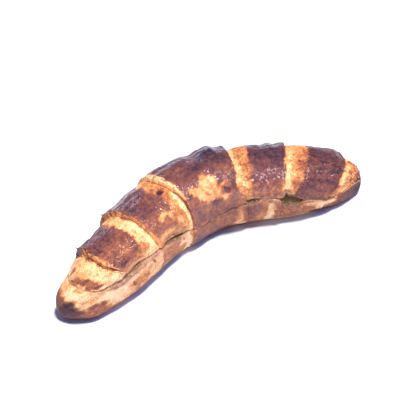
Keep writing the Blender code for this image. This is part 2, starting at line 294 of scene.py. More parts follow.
# how brown the five bands are, and the pale rest of all seven wraps, left to right
# the near side's values are paler, partly the dough's own paler side and partly painted light on that
# side
BAND_BAKE = (
    (0.46, 0.38, 0.40, 0.58, 0.68, 0.84),
    (0.46, 0.34, 0.24, 0.38, 0.68, 0.78),
    (0.52, 0.50, 0.50, 0.54, 0.72, 0.84),
    (0.34, 0.36, 0.50, 0.68, 0.83, 0.82),
    (0.36, 0.54, 0.78, 0.69, 0.74, 0.78),
)
REST_BAKE = (
    (0.22, 0.04, 0.06, 0.14, 0.12, 0.02),
    (0.16, 0.04, 0.06, 0.12, 0.15, 0.12),
    (0.14, 0.08, 0.14, 0.20, 0.32, 0.14),
    (0.20, 0.06, 0.08, 0.12, 0.26, 0.30),
    (0.34, 0.26, 0.20, 0.22, 0.36, 0.20),
    (0.28, 0.24, 0.22, 0.22, 0.27, 0.16),
    (0.42, 0.36, 0.34, 0.24, 0.12, 0.04),
)
# how much each band shines; the wash is thin below the first of these angles
BAND_SHINE = (0.5, 0.9, 0.9, 1.0, 0.4)
WASH_ANGLES = (12.0, 34.0)
DRY_SHINE = 0.15
# beyond the crest the shine breaks up into streaks
STREAK_ANGLES = (78.0, 96.0)
STREAK_MM = 2.4

# Patches: place along, angle, half length along and around in mm, turn in degrees,
# bake, softness of the edge as a share of the half length.
BAKE_PATCHES = (
    # the base's left tip
    (0.000, 60.0, 6.0, 60.0, 0, 0.72, 0.35),
    (0.008, 100.0, 4.0, 18.0, 0, 0.60, 0.5),
    (0.060, 56.0, 2.2, 5.0, 20, 0.30, 0.7),
    (0.036, 90.0, 4.0, 26.0, 0, 0.20, 0.5),
    (0.046, 52.0, 7.0, 11.0, 20, 0.02, 0.5),
    (0.060, 28.0, 6.0, 5.0, -30, 0.04, 0.6),
    (0.061, 52.0, 1.8, 4.0, 20, 0.34, 0.6),
    (0.084, 31.0, 1.8, 2.6, 30, 0.24, 0.6),
    (0.003, 52.0, 3.4, 12.0, 0, 0.62, 0.4),
    (0.018, 16.0, 7.0, 8.0, 0, 0.88, 0.3),
    (0.034, 11.0, 3.0, 5.0, -15, 0.90, 0.3),
    (0.058, 21.0, 3.4, 3.4, 0, 0.0, 0.5),
    (0.032, -12.0, 9.0, 5.5, 0, 0.78, 0.35),
    # painted shade: this row and the next darken the tip's underside, where shade falls under the lifted
    # toe
    (0.030, -48.0, 18.0, 9.0, 0, 0.62, 0.5),
    (0.090, -44.0, 14.0, 8.0, 0, 0.54, 0.6),
    (0.088, -16.0, 8.4, 7.0, 0, 0.46, 0.35),
    (0.085, 2.0, 3.0, 2.0, 0, 0.62, 0.4),
    # painted shade: the tip's lowest crust is darker, where shade falls under the toe
    (0.030, -62.0, 16.0, 5.0, 0, 0.60, 0.4),
    (0.085, 13.0, 6.0, 3.0, 0, 0.10, 0.6),
    (0.115, 10.0, 5.0, 4.0, 0, 0.14, 0.6),
    # the lid's end
    (0.105, 62.0, 6.0, 8.0, 40, 0.08, 0.7),
    (0.112, 92.0, 4.0, 13.0, 0, 0.20, 0.7),
    (0.075, 112.0, 4.0, 4.0, 0, 0.03, 0.7),
    (0.081, 61.0, 13.0, 2.3, -67, 0.50, 0.35),
    (0.098, 44.0, 5.0, 2.6, -62, 0.54, 0.5),
    (0.073, 68.0, 6.0, 1.4, -67, 0.62, 0.6),
    (0.096, 80.0, 6.0, 5.0, 0, 0.22, 0.7),
    (0.092, 16.0, 7.0, 2.8, 0, 0.22, 0.6),
    (0.130, 31.0, 3.0, 3.0, 0, 0.20, 0.6),
    (0.108, 35.0, 2.8, 1.6, -60, 0.62, 0.6),
    (0.078, 108.0, 2.0, 3.4, 0, 0.48, 0.5),
    (0.128, 140.0, 3.5, 3.0, 0, 0.55, 0.5),
    # the first wrap
    (0.205, 22.0, 12.0, 2.6, 0, 0.18, 0.4),
    (0.182, 43.0, 8.0, 3.0, 0, 0.76, 0.5),
    (0.205, 33.0, 6.0, 2.4, 0, 0.50, 0.6),
    (0.148, 17.0, 6.0, 3.4, 0, 0.02, 0.6),
    (0.135, 62.0, 3.0, 10.0, 20, 0.08, 0.7),
    (0.168, 55.0, 5.0, 5.0, -30, 0.60, 0.7),
    (0.175, 76.0, 7.0, 4.0, 0, 0.55, 0.8),
    (0.148, 92.0, 4.0, 5.0, 20, 0.80, 0.6),
    (0.190, 104.0, 9.0, 4.0, 0, 0.76, 0.7),
    (0.209, 62.0, 4.0, 8.0, 0, 0.55, 0.7),
    # the first pale stripe
    (0.255, 118.0, 4.0, 5.0, 0, 0.20, 0.8),
    (0.250, 67.0, 1.2, 1.0, 0, 0.26, 0.8),
    (0.262, 60.0, 1.6, 10.0, 0, 0.04, 0.7),
    (0.234, 37.0, 3.2, 4.0, 0, 0.42, 0.5),
    # the second wrap
    (0.322, 75.0, 9.5, 7.0, 0, 0.68, 0.45),
    (0.300, 95.0, 5.0, 5.0, 0, 0.74, 0.7),
    (0.345, 61.0, 6.0, 1.6, 6, 0.54, 0.6),
    (0.300, 58.0, 4.0, 2.4, 0, 0.56, 0.7),
    (0.329, 51.0, 4.6, 1.8, 7, 0.14, 0.4),
    (0.352, 54.0, 3.0, 1.2, -20, 0.50, 0.6),
    (0.294, 44.0, 4.0, 5.4, 0, 0.56, 0.4),
    (0.328, 42.0, 6.0, 1.8, 0, 0.50, 0.5),
    (0.328, 32.0, 9.0, 2.6, 0, 0.58, 0.6),
    (0.310, 23.0, 9.0, 2.0, -8, 0.26, 0.5),
    (0.355, 46.0, 2.0, 2.2, 0, 0.20, 0.5),
    (0.368, 21.0, 4.0, 2.6, 0, 0.52, 0.5),
    (0.376, 68.0, 3.4, 3.0, 0, 0.42, 0.7),
    (0.378, 46.0, 2.4, 4.0, 0, 0.30, 0.7),
    (0.376, 95.0, 3.0, 3.0, 0, 0.46, 0.7),
    (0.386, 28.0, 2.6, 8.0, 0, 0.36, 0.6),
    (0.373, 31.0, 3.0, 2.2, 0, 0.24, 0.6),
    (0.380, 17.0, 4.0, 3.0, 0, 0.34, 0.6),
    (0.384, 38.0, 1.6, 4.0, 0, 0.38, 0.6),
    (0.386, 60.0, 1.4, 1.2, 0, 0.36, 0.6),
    (0.384, 102.0, 4.4, 7.0, 0, 0.36, 0.6),
    (0.384, 84.0, 3.0, 4.0, 0, 0.40, 0.5),
    (0.377, 83.0, 2.2, 2.0, 10, 0.92, 0.22),
    # the second pale stripe
    (0.405, 45.0, 1.6, 16.0, 0, 0.06, 0.7),
    # the middle wrap
    (0.480, 110.0, 14.0, 3.0, 0, 0.82, 0.6),
    (0.565, 92.0, 12.0, 5.5, -6, 0.86, 0.6),
    (0.455, 84.0, 8.0, 5.0, 0, 0.68, 0.8),
    (0.450, 66.0, 7.0, 3.0, 0, 0.62, 0.8),
    (0.448, 8.0, 7.0, 3.0, 0, 0.58, 0.5),
    (0.428, 34.0, 2.6, 6.0, 0, 0.60, 0.5),
    (0.530, 8.0, 14.0, 3.4, 0, 0.60, 0.8),
    (0.600, 30.0, 5.0, 6.0, 0, 0.50, 0.7),
    (0.588, 56.0, 8.0, 5.4, 0, 0.64, 0.3),
    (0.452, 49.0, 8.0, 3.0, -5, 0.20, 0.35),
    (0.474, 41.0, 4.4, 3.2, 0, 0.17, 0.4),
    (0.518, 54.0, 7.0, 5.0, 6, 0.17, 0.25),
    (0.520, 37.0, 8.2, 5.6, 0, 0.24, 0.25),
    (0.552, 25.0, 5.0, 1.8, 8, 0.16, 0.4),
    (0.570, 44.0, 2.4, 1.4, 0, 0.24, 0.6),
    (0.608, 32.0, 2.6, 1.0, -10, 0.20, 0.6),
    (0.444, 28.0, 5.8, 6.4, -6, 0.54, 0.18),
    (0.466, 24.0, 3.2, 3.2, 30, 0.50, 0.3),
    (0.538, 22.0, 3.4, 3.4, 0, 0.60, 0.6),
    (0.528, 21.0, 5.8, 1.8, 4, 0.84, 0.3),
    (0.577, 34.0, 2.5, 2.2, 0, 0.80, 0.2),
    (0.556, 54.0, 1.6, 3.0, 0, 0.66, 0.4),
    (0.498, 37.0, 2.0, 0.6, 0, 0.40, 0.5),
    (0.486, 36.0, 3.0, 1.8, 0, 0.12, 0.5),
    (0.530, 45.0, 1.2, 0.8, 0, 0.36, 0.6),
    (0.512, 60.0, 1.0, 0.8, 0, 0.34, 0.6),
    (0.431, 51.0, 2.4, 4.0, 0, 0.62, 0.4),
    (0.609, 40.0, 3.4, 7.0, 0, 0.62, 0.5),
    (0.440, 20.0, 5.0, 5.0, 0, 0.64, 0.5),
    (0.565, 108.0, 9.0, 5.0, 0, 0.96, 0.6),
    (0.508, 63.0, 2.6, 2.4, 0, 0.24, 0.6),
    (0.516, 80.0, 8.0, 3.0, 0, 0.84, 0.7),
    (0.540, 67.0, 4.0, 2.0, 0, 0.70, 0.6),
    (0.606, 49.0, 3.4, 5.0, 0, 0.74, 0.4),
    (0.410, 66.0, 2.2, 6.0, 0, 0.06, 0.6),
    (0.424, 70.0, 1.6, 0.5, -25, 0.95, 0.4),
    # the third pale stripe
    (0.628, 88.0, 1.4, 20.0, -6, 0.14, 0.5),
    (0.642, 40.0, 1.4, 7.0, -18, 0.03, 0.5),
    (0.632, 58.0, 2.0, 9.0, -12, 0.07, 0.5),
    (0.656, 62.0, 2.0, 6.0, -10, 0.20, 0.6),
    (0.653, 74.0, 2.6, 8.0, -8, 0.36, 0.6),
    (0.650, 50.0, 1.8, 5.0, -14, 0.20, 0.6),
    (0.658, 33.0, 2.4, 3.0, 0, 0.34, 0.6),
    (0.632, 31.0, 2.8, 3.0, 0, 0.30, 0.6),
    # the fourth wrap
    (0.748, 80.0, 5.0, 6.0, 0, 0.88, 0.8),
    (0.710, 72.0, 9.0, 2.5, 0, 0.75, 0.8),
    (0.715, 55.0, 11.0, 4.0, 0, 0.70, 0.8),
    (0.728, 66.0, 5.0, 2.4, 0, 0.76, 0.7),
    (0.698, 46.0, 7.0, 2.5, 0, 0.74, 0.8),
    (0.682, 30.0, 3.0, 3.0, 0, 0.44, 0.6),
    (0.672, 62.0, 2.4, 3.0, 0, 0.44, 0.7),
    (0.710, 29.0, 12.0, 2.4, 0, 0.56, 0.5),
    (0.710, 19.0, 12.0, 1.8, 0, 0.57, 0.6),
    (0.760, 33.0, 2.4, 3.0, 0, 0.46, 0.7),
    # the fourth pale stripe
    (0.785, 52.0, 2.0, 7.0, -27, 0.06, 0.5),
    (0.808, 62.0, 2.4, 7.0, -25, 0.14, 0.6),
    (0.790, 76.0, 1.6, 6.0, -27, 0.20, 0.5),
    (0.803, 95.0, 2.4, 9.0, -20, 0.14, 0.6),
    (0.773, 32.0, 1.6, 5.0, -25, 0.12, 0.6),
    (0.800, 34.0, 3.0, 4.4, -25, 0.50, 0.5),
    (0.815, 60.0, 3.4, 7.0, -25, 0.24, 0.8),
    (0.826, 76.0, 2.2, 6.0, -25, 0.34, 0.6),
    (0.838, 88.0, 3.4, 4.0, -25, 0.32, 0.8),
    (0.820, 112.0, 6.0, 4.0, 0, 0.28, 0.8),
    # the fifth wrap
    (0.900, 90.0, 9.0, 7.0, 0, 0.86, 0.8),
    (0.860, 62.0, 8.0, 7.0, 0, 0.74, 0.8),
    (0.925, 62.0, 3.0, 8.0, -15, 0.88, 0.6),
    (0.905, 26.0, 4.0, 6.0, 0, 0.84, 0.6),
    (0.886, 52.0, 5.0, 4.0, 0, 0.80, 0.6),
    (0.850, 8.0, 7.0, 3.0, 0, 0.58, 0.7),
    (0.880, 20.0, 7.0, 3.5, 0, 0.68, 0.8),
    # the right tip
    (0.944, 42.0, 1.6, 9.0, -22, 0.14, 0.5),
    (0.938, 14.0, 4.0, 2.0, 30, 0.12, 0.6),
    (0.955, 17.0, 5.0, 1.8, 12, 0.24, 0.6),
    (0.964, 52.0, 1.3, 2.6, -20, 0.50, 0.5),
    (0.976, 70.0, 1.4, 3.4, -20, 0.48, 0.5),
    (0.962, 32.0, 1.6, 1.8, 0, 0.48, 0.5),
    (0.982, 44.0, 1.4, 3.0, 0, 0.52, 0.5),
    (0.984, 84.0, 3.4, 8.0, 0, 0.34, 0.6),
    (0.976, 98.0, 1.6, 4.0, 0, 0.46, 0.5),
    (0.994, 34.0, 2.6, 16.0, 0, 0.60, 0.5),
    (0.988, 12.0, 4.0, 5.0, 0, 0.60, 0.4),
)
# The same on the base, whose brown and pale run on below the cut.
BASE_PATCHES = (
    (0.470, -16.0, 12.0, 6.0, 0, 0.54, 0.7),
    (0.540, -14.0, 12.0, 6.0, 0, 0.50, 0.7),
    (0.470, -44.0, 16.0, 5.0, 0, 0.66, 0.7),
    (0.785, -26.0, 13.0, 9.0, 0, 0.50, 0.7),
    # painted shade: darker low crust on the near side, where shade falls under the belly
    (0.215, -48.0, 10.0, 5.0, 0, 0.58, 0.5),
    (0.214, -30.0, 8.0, 3.6, 0, 0.44, 0.6),
    # painted light: this row and the next make the lowest near crust paler, where light from the board
    # falls on it
    (0.775, -64.0, 24.0, 7.0, 0, 0.04, 0.6),
    (0.390, -62.0, 6.0, 6.0, 0, 0.02, 0.5),
    # painted shade: darker low crust, where shade falls under the belly
    (0.310, -46.0, 10.0, 6.0, 0, 0.66, 0.5),
    (0.305, -16.0, 8.0, 7.0, 0, 0.42, 0.5),
    (0.364, -26.0, 3.0, 8.0, 20, 0.34, 0.4),
    (0.660, -40.0, 7.0, 5.0, 0, 0.46, 0.7),
    # below the lid's end
    (0.110, -4.0, 2.8, 2.4, 0, 0.60, 0.4),
    (0.130, -18.0, 2.4, 6.0, 20, 0.18, 0.5),
    (0.155, -10.0, 4.4, 8.0, 12, 0.01, 0.4),
    (0.166, -32.0, 2.0, 7.0, 12, 0.08, 0.5),
    (0.190, -11.0, 3.2, 5.0, 12, 0.40, 0.4),
    (0.190, -4.0, 0.9, 2.4, 25, 0.62, 0.5),
    (0.214, -12.0, 4.0, 4.4, 0, 0.28, 0.6),
    (0.224, -7.0, 1.4, 2.2, 20, 0.46, 0.5),
    (0.242, -5.0, 2.4, 3.0, 0, 0.14, 0.5),
    (0.190, 7.0, 9.0, 2.8, 0, 0.03, 0.5),
    (0.228, 3.0, 4.0, 2.4, 0, 0.34, 0.6),
    (0.178, -14.0, 3.0, 4.0, 0, 0.08, 0.6),
    (0.140, 6.0, 7.0, 3.2, 0, 0.01, 0.5),
    (0.245, 4.0, 6.0, 2.4, 0, 0.14, 0.5),
    (0.247, 7.0, 0.6, 2.6, 12, 0.66, 0.5),
    (0.268, -6.0, 1.8, 6.0, 4, 0.06, 0.4),
    # the cream wedge beside the middle wrap
    (0.346, 0.0, 4.0, 1.2, -6, 0.10, 0.5),
    (0.373, -6.0, 5.2, 3.4, 10, 0.03, 0.3),
    (0.391, -16.0, 2.4, 4.4, 18, 0.05, 0.3),
    (0.395, -38.0, 1.6, 9.0, 4, 0.06, 0.35),
    (0.390, -50.0, 4.0, 7.0, 4, 0.0, 0.4),
    (0.410, -1.0, 3.0, 1.6, 0, 0.30, 0.5),
    (0.432, -28.0, 3.4, 6.0, 0, 0.74, 0.5),
    (0.455, -44.0, 8.0, 4.0, 0, 0.80, 0.5),
    (0.360, -3.0, 1.8, 0.5, -20, 0.92, 0.4),
    # under the right wraps
    (0.612, -22.0, 3.0, 9.0, -10, 0.22, 0.7),
    (0.614, -46.0, 4.0, 6.0, -10, 0.06, 0.6),
    (0.830, -62.0, 5.0, 6.0, 0, 0.0, 0.6),
    (0.654, -8.0, 5.0, 4.4, 0, 0.66, 0.6),
    (0.654, -22.0, 3.4, 5.0, 0, 0.60, 0.6),
    (0.676, -5.0, 4.0, 4.0, 40, 0.54, 0.6),
    (0.700, -6.0, 3.0, 2.6, 0, 0.48, 0.6),
    (0.720, -10.0, 2.4, 8.0, -10, 0.05, 0.35),
    (0.712, -46.0, 3.4, 12.0, -10, 0.04, 0.4),
    (0.775, -7.0, 6.0, 2.6, 0, 0.50, 0.6),
    (0.760, -22.0, 4.0, 3.0, 0, 0.44, 0.7),
    (0.962, -22.0, 14.5, 14.0, 12, 0.67, 0.2),
    (0.992, -10.0, 5.0, 22.0, 0, 0.98, 0.5),
    (0.958, 5.0, 6.0, 3.4, 14, 0.74, 0.5),
    (0.798, -7.0, 5.0, 2.6, 0, 0.50, 0.5),
    (0.850, -6.0, 6.4, 1.8, 0, 0.12, 0.5),
    (0.884, -13.0, 6.4, 6.6, 8, 0.0, 0.3),
    (0.866, -34.0, 2.6, 5.0, 0, 0.14, 0.5),
    # painted shade: darker low crust under the fifth wrap's belly
    (0.872, -50.0, 8.0, 4.8, 0, 0.92, 0.4),
    (0.903, -5.0, 3.6, 2.4, 25, 0.08, 0.5),
    (0.930, 6.0, 6.0, 0.9, 14, 0.18, 0.5),
    (0.960, 14.0, 6.0, 0.8, 14, 0.22, 0.5),
)
FADE_MM = 1.3
# the glaze's bubbles: mm apart, how wide they are and how many of them fall out
BUBBLE_MM = 2.6
BUBBLE_RADIUS_SHARES = (0.30, 0.28)
BUBBLES_LEFT_OUT = 0.3
PLAIN_BUBBLES_MM = 0.08
# where it bubbled most: place along, angle, half length along and around in mm, mm high
GLAZE_BUBBLES = (
    (0.588, 54.0, 9.0, 6.0, 0.34),
    (0.470, 60.0, 7.0, 5.0, 0.26),
    (0.340, 54.0, 10.0, 6.0, 0.22),
    (0.705, 48.0, 12.0, 7.0, 0.20),
    (0.890, 50.0, 10.0, 8.0, 0.24),
    (0.185, 55.0, 9.0, 7.0, 0.14),
)
# noise in the crust's relief: mm high, mm across, layers, seed
CRUST_SWELLS = (0.18, 8.0, 3, 21)
DRAWN_GRAIN = (0.07, 2.2, 3, 22)
FAR_LUMPS = (0.38, 5.0, 2, 27)
FAR_LUMP_ANGLES = (88.0, 113.0)
# raised lines between cells of the browned crust: mm high, mm across a cell
CRACK_NET_MM = (0.07, 1.5)
CRACK_LINE_MM = 0.45
# pits in the pale crust: mm deep, mm apart, mm to the rim
PITS_MM = (0.16, 1.9, 0.5)
PITS_LEFT_OUT = 0.62
# the torn rim of a lip: mm high, and how far it and the sunk foot below it reach
TORN_RIM_MM = 0.35
TORN_RIM_REACH_MM = (0.9, 0.8)
TORN_RIM_ANGLES = (8.0, 38.0)
# the net of pale lines where the wash dried: place, angle, half sizes in mm; a cell's size,
# the lines' half width, and how much browner the cells and paler the lines are
HONEYCOMB = (0.700, 24.0, 13.0, 5.0)
HONEYCOMB_CELL_MM = 3.4
HONEYCOMB_LINE_MM = (0.25, 0.6)
HONEYCOMB_BAKE = (0.04, 0.15)
# how dark the crevice under each lip is, partly burnt wash and partly painted shade, for the lips that
# face left
CREVICES = (
    (0.0, 0.1, 0.2, 0.3, 0.3, 0.3),
    (0.0, 0.1, 0.3, 0.2, 0.1, 0.2),
    (0.0, 0.5, 0.9, 0.8, 0.0, 0.0),
)
# and for the lips that face right, with the same burnt wash and painted shade
RIGHT_CREVICES = (
    (0.1, 0.2, 0.3, 0.3, 0.5, 0.5),
    (0.0, 0.1, 0.1, 0.1, 0.1, 0.2),
    (0.2, 0.4, 0.5, 0.7, 0.8, 0.8),
)
# the crevice's reach in mm and its bake, partly burnt wash and partly painted shade
CREVICE_MM = 0.35
CREVICE_BURNT_AND_SHADED_BAKE = 0.82
# how wide the brown has flaked off along a lip
TORN_PALE_MM = {
    1: (0.0, 0.0, 0.0, 0.35, 0.35, 0.0),
    2: (0.0, 0.0, 0.0, 0.0, 0.4, 0.6),
    3: (0.0, 0.0, 0.0, 0.0, 2.0, 3.4),
}
# how brown the crust is there, for each lip
TORN_PALE_BAKE = {1: 0.26, 2: 0.34, 3: 0.09}
# mottling of the bake: amount, size in mm, how far it is drawn out along the roll, seed
MOTTLES_MM = (
    (0.035, 7.0, 1.0, 14),
    (0.055, 2.4, 1.0, 15),
    (0.045, 1.1, 1.0, 16),
    (0.030, 1.5, 3.5, 17),
)
# how wide a crumbly spot is and how soft its rim, as shares of its size, and how many fall out
SPOT_SHARES = (0.12, 0.30)
SPOTS_LEFT_OUT = 0.35
# crumbly spots: place along, angle, half length along and around in mm, bake, mm high, size
CRUMBLY = (
    (0.966, 62.0, 6.0, 22.0, 0.36, 0.35, 1.9),
    (0.640, 60.0, 5.0, 18.0, 0.20, 0.12, 1.5),
    (0.800, 70.0, 7.0, 16.0, 0.20, 0.12, 1.5),
)
# how far every outline in the bake wanders, and over what length, in mm
BAKE_WARP_MM = ((0.9, 4.5), (0.5, 1.7))


def smooth(t):
    """Rises from 0 to 1 with a soft start and end."""
    t = np.clip(t, 0.0, 1.0)
    return t * t * (3.0 - 2.0 * t)


def lobes(u, list_of_lobes):
    """The highest of several rounded rises given by middle, half length and height."""
    rise = np.zeros(np.shape(u))
    for middle, half_length, height in list_of_lobes:
        rise = np.maximum(rise, height * (1.0 - smooth(np.abs(u - middle) / half_length)))
    return rise


def natural_spline(values, u):
    """A natural cubic spline through evenly spaced values, and its slope, at shares u."""
    values = np.asarray(values, float)
    last = len(values) - 1
    bends = np.zeros_like(values)
    system = 4.0 * np.eye(last - 1) + np.eye(last - 1, k=1) + np.eye(last - 1, k=-1)
    bends[1:-1] = np.linalg.solve(system, 6.0 * np.diff(values, 2, axis=0))
    place = np.clip(np.asarray(u, float), 0.0, 1.0) * last
    index = np.minimum(place.astype(int), last - 1)
    b = place - index
    a = 1.0 - b
    if values.ndim == 2:
        a, b = a[..., None], b[..., None]
    low, high = values[index], values[index + 1]
    low_bend, high_bend = bends[index], bends[index + 1]
    point = a * low + b * high + ((a**3 - a) * low_bend + (b**3 - b) * high_bend) / 6.0
    slope = high - low + ((1 - 3 * a**2) * low_bend + (3 * b**2 - 1) * high_bend) / 6.0
    return point, slope


def quarter_round(t):
    """A blunt rounded end's profile, from 0 at the tip to 1."""
    t = np.clip(t, 0.0, 1.0)
    return np.maximum(1.0 - (1.0 - t) ** END_POWER, 0.0) ** (1.0 / END_POWER)


def end_rounding(u):
    """How far the roll has filled out behind its tips, from 0 to 1."""
    return quarter_round(np.minimum(u / LEFT_ROUND, (1.0 - u) / RIGHT_ROUND))


def section_sizes(u):
    """Half width, lowest level and highest level of the plain roll, in mm."""
    rounding = end_rounding(u)
    half_width = natural_spline(HALF_WIDTH_MM, u)[0] * rounding
    height = natural_spline(HEIGHT_MM, u)[0]
    low = TOE_LIFT_SHARE * height * (1.0 - rounding) ** 1.5
    high = height * (END_HEIGHT_SHARE + (1.0 - END_HEIGHT_SHARE) * rounding)
    nose = quarter_round(np.minimum(u / LEFT_ROUND, (1.0 - u) / RIGHT_ROUND) / NOSE_SHARE)
    middle = low + WIDEST_SHARE * (high - low)
    return half_width, middle + (low - middle) * nose, middle + (high - middle) * nose


def section_point(u, angle):
    """Sideways distance and level of the plain roll's surface at an angle in degrees."""
    half_width, low, high = section_sizes(u)
    widest = low + WIDEST_SHARE * (high - low)
    cosine, sine = np.cos(np.radians(angle)), np.sin(np.radians(angle))
    side = np.sign(np.round(cosine, 9))
    crown = np.abs(cosine) ** (2.0 / CROWN_POWER)
    belly = FOOT_SHARE + (1.0 - FOOT_SHARE) * np.abs(cosine) ** (2.0 / BELLY_POWER)
    sideways = half_width * side * np.where(sine >= 0.0, crown, belly)
    rise = (high - widest) * np.abs(sine) ** (2.0 / CROWN_POWER)
    drop = (widest - low) * np.abs(sine) ** (2.0 / BELLY_POWER)
    return sideways, np.where(sine >= 0.0, widest + rise, widest - drop)


def cut_level(u):
    """The knife's level in mm, with its strays and the sagging seam."""
    level = natural_spline(CUT_LEVEL_MM, u)[0] - lobes(u, SEAM_DROPS)
    for middle, half_length, rise in CUT_STRAYS:
        level = level + rise * (1.0 - smooth(np.abs(u - middle) / half_length))
    return level


def cut_angle(u):
    """The angle at which the surface meets the knife's level."""
    _, low, high = section_sizes(u)
    level = cut_level(u)
    widest = low + WIDEST_SHARE * (high - low)
    above = np.clip((level - widest) / np.maximum(high - widest, 1e-6), 0.0, 0.9995)
    below = np.clip((widest - level) / np.maximum(widest - low, 1e-6), 0.0, 0.9995)
    up = np.degrees(np.arcsin(above ** (CROWN_POWER / 2.0)))
    down = np.degrees(np.arcsin(below ** (BELLY_POWER / 2.0)))
    return np.where(level >= widest, up, -down)


def round_angle(angle):
    """The angle counted on past the far side, so that it never jumps on the crust."""
    return np.where(np.asarray(angle) < -90.0, np.asarray(angle) + 360.0, angle)


def at_angle(values, angle):
    """A smooth curve through values given at the wrap angles."""
    x = np.asarray(WRAP_ANGLES)
    y = np.asarray(values, float)
    slope = np.gradient(y, x)
    a = np.clip(round_angle(angle), x[0], x[-1])
    i = np.clip(np.searchsorted(x, a) - 1, 0, len(x) - 2)
    width = x[i + 1] - x[i]
    t = (a - x[i]) / width
    rise = t * t * (3.0 - 2.0 * t)
    bend = width * (slope[i] * t * (1.0 - t) ** 2 - slope[i + 1] * t * t * (1.0 - t))
    return y[i] * (1.0 - rise) + y[i + 1] * rise + bend


# Seeded unevenness

LAYER_SHIFT = 7.3
LAYER_FADE = 0.55
NOISE_GAIN = 1.6


def spots_at(x, y, z=0.0):
    """Points for the noise from their coordinates."""
    return np.stack(np.broadcast_arrays(x, y, z), -1)


def lattice_values(cells, seed):
    """One number from 0 to 1 for each whole-numbered cell."""
    mixed = cells[..., 0] * 374761393 + cells[..., 1] * 668265263 + cells[..., 2] * 2147483647
    mixed = (mixed + seed * 144665) & 0x7FFFFFFF
    mixed = ((mixed ^ (mixed >> 13)) * 1274126177) & 0x7FFFFFFF
    mixed = ((mixed ^ (mixed >> 16)) * 668265263) & 0x7FFFFFFF
    return (mixed & 0xFFFFFF) / float(0xFFFFFF)


def value_noise(points, seed):
    """Smooth noise from -1 to 1 at points in lattice units."""
    cell = np.floor(points).astype(np.int64)
    part = points - cell
    weight = part**3 * (part * (part * 6.0 - 15.0) + 10.0)
    total = 0.0
    for corner in np.ndindex(2, 2, 2):
        share = np.prod(np.where(corner, weight, 1.0 - weight), axis=-1)
        total = total + share * lattice_values(cell + np.array(corner), seed)
    return 2.0 * total - 1.0


def layered_noise(points_mm, size_mm, layers, seed):
    """Noise of several sizes from about -1 to 1, each layer half as wide as the one before."""
    total, reach, strength = 0.0, 0.0, 1.0
    for layer in range(layers):
        spots = points_mm / size_mm * 2.0**layer + LAYER_SHIFT * layer
        total = total + strength * value_noise(spots, seed + layer)
        reach += strength
        strength *= LAYER_FADE
    return total / reach * NOISE_GAIN


def cell_distances(x, y, size_mm, seed):
    """Distances in mm to the nearest and second nearest of scattered points, and its number."""
    base = spots_at(np.floor(x / size_mm), np.floor(y / size_mm), seed).astype(np.int64)
    nearest = np.full(x.shape, 1e9)
    second = np.full(x.shape, 1e9)
    number = np.zeros(x.shape)
    for i in (-1, 0, 1):
        for j in (-1, 0, 1):
            cell = base + np.array([i, j, 0])
            px = (cell[..., 0] + lattice_values(cell, seed + 1)) * size_mm
            py = (cell[..., 1] + lattice_values(cell, seed + 2)) * size_mm
            away = np.hypot(px - x, py - y)
            closer = away < nearest
            second = np.where(closer, nearest, np.minimum(second, away))
            number = np.where(closer, lattice_values(cell, seed + 3), number)
            nearest = np.where(closer, away, nearest)
    return nearest, second, number


# Wraps

def edge_place(index, angle):
    """Where along the roll a boundary lies: 0 is the lid's start, 7 the right end."""
    if index == len(WRAP_EDGES) + 1:
        return np.full(np.shape(angle), 1.0 - TIP_CLEAR)
    around = np.asarray(round_angle(angle)) * AROUND_MM_PER_DEGREE
    if index == 0:
        ragged = value_noise(spots_at(around / LID_START_RAGGED_LENGTH_MM, 0.0), 39)
        return at_angle(LID_START, angle) + LID_START_RAGGED_MM * ragged / ROLL_LENGTH_MM
    ragged = 0.0
    for share, length in zip(RAGGED_SHARES, RAGGED_LENGTH_MM):
        ragged = ragged + share * value_noise(spots_at(around / length, 3.1 * index), 40 + index)
    ragged = ragged * at_angle(WRAP_EDGES[index - 1]["ragged"], angle)
    return at_angle(WRAP_EDGES[index - 1]["at"], angle) + ragged / ROLL_LENGTH_MM


def wrap_place(wrap, t, angle, overhang=True):
    """Where along the roll a share t of one wrap lies, clear of the lips beside it."""
    start, end = edge_place(wrap, angle), edge_place(wrap + 1, angle)
    clear = STEP_RUN
    if overhang:
        clear = at_angle(STEP_CLEAR_MM, angle) / ROLL_LENGTH_MM
    if wrap > 0:
        start = start + clear / 2.0
    if wrap < len(WRAP_EDGES):
        end = end - clear / 2.0
    return start + (end - start) * t


def at_edge(index, kind, angle):
    """An edge's lip height or sunk depth in mm."""
    return np.maximum(at_angle(WRAP_EDGES[index - 1][kind], angle), 0.0)


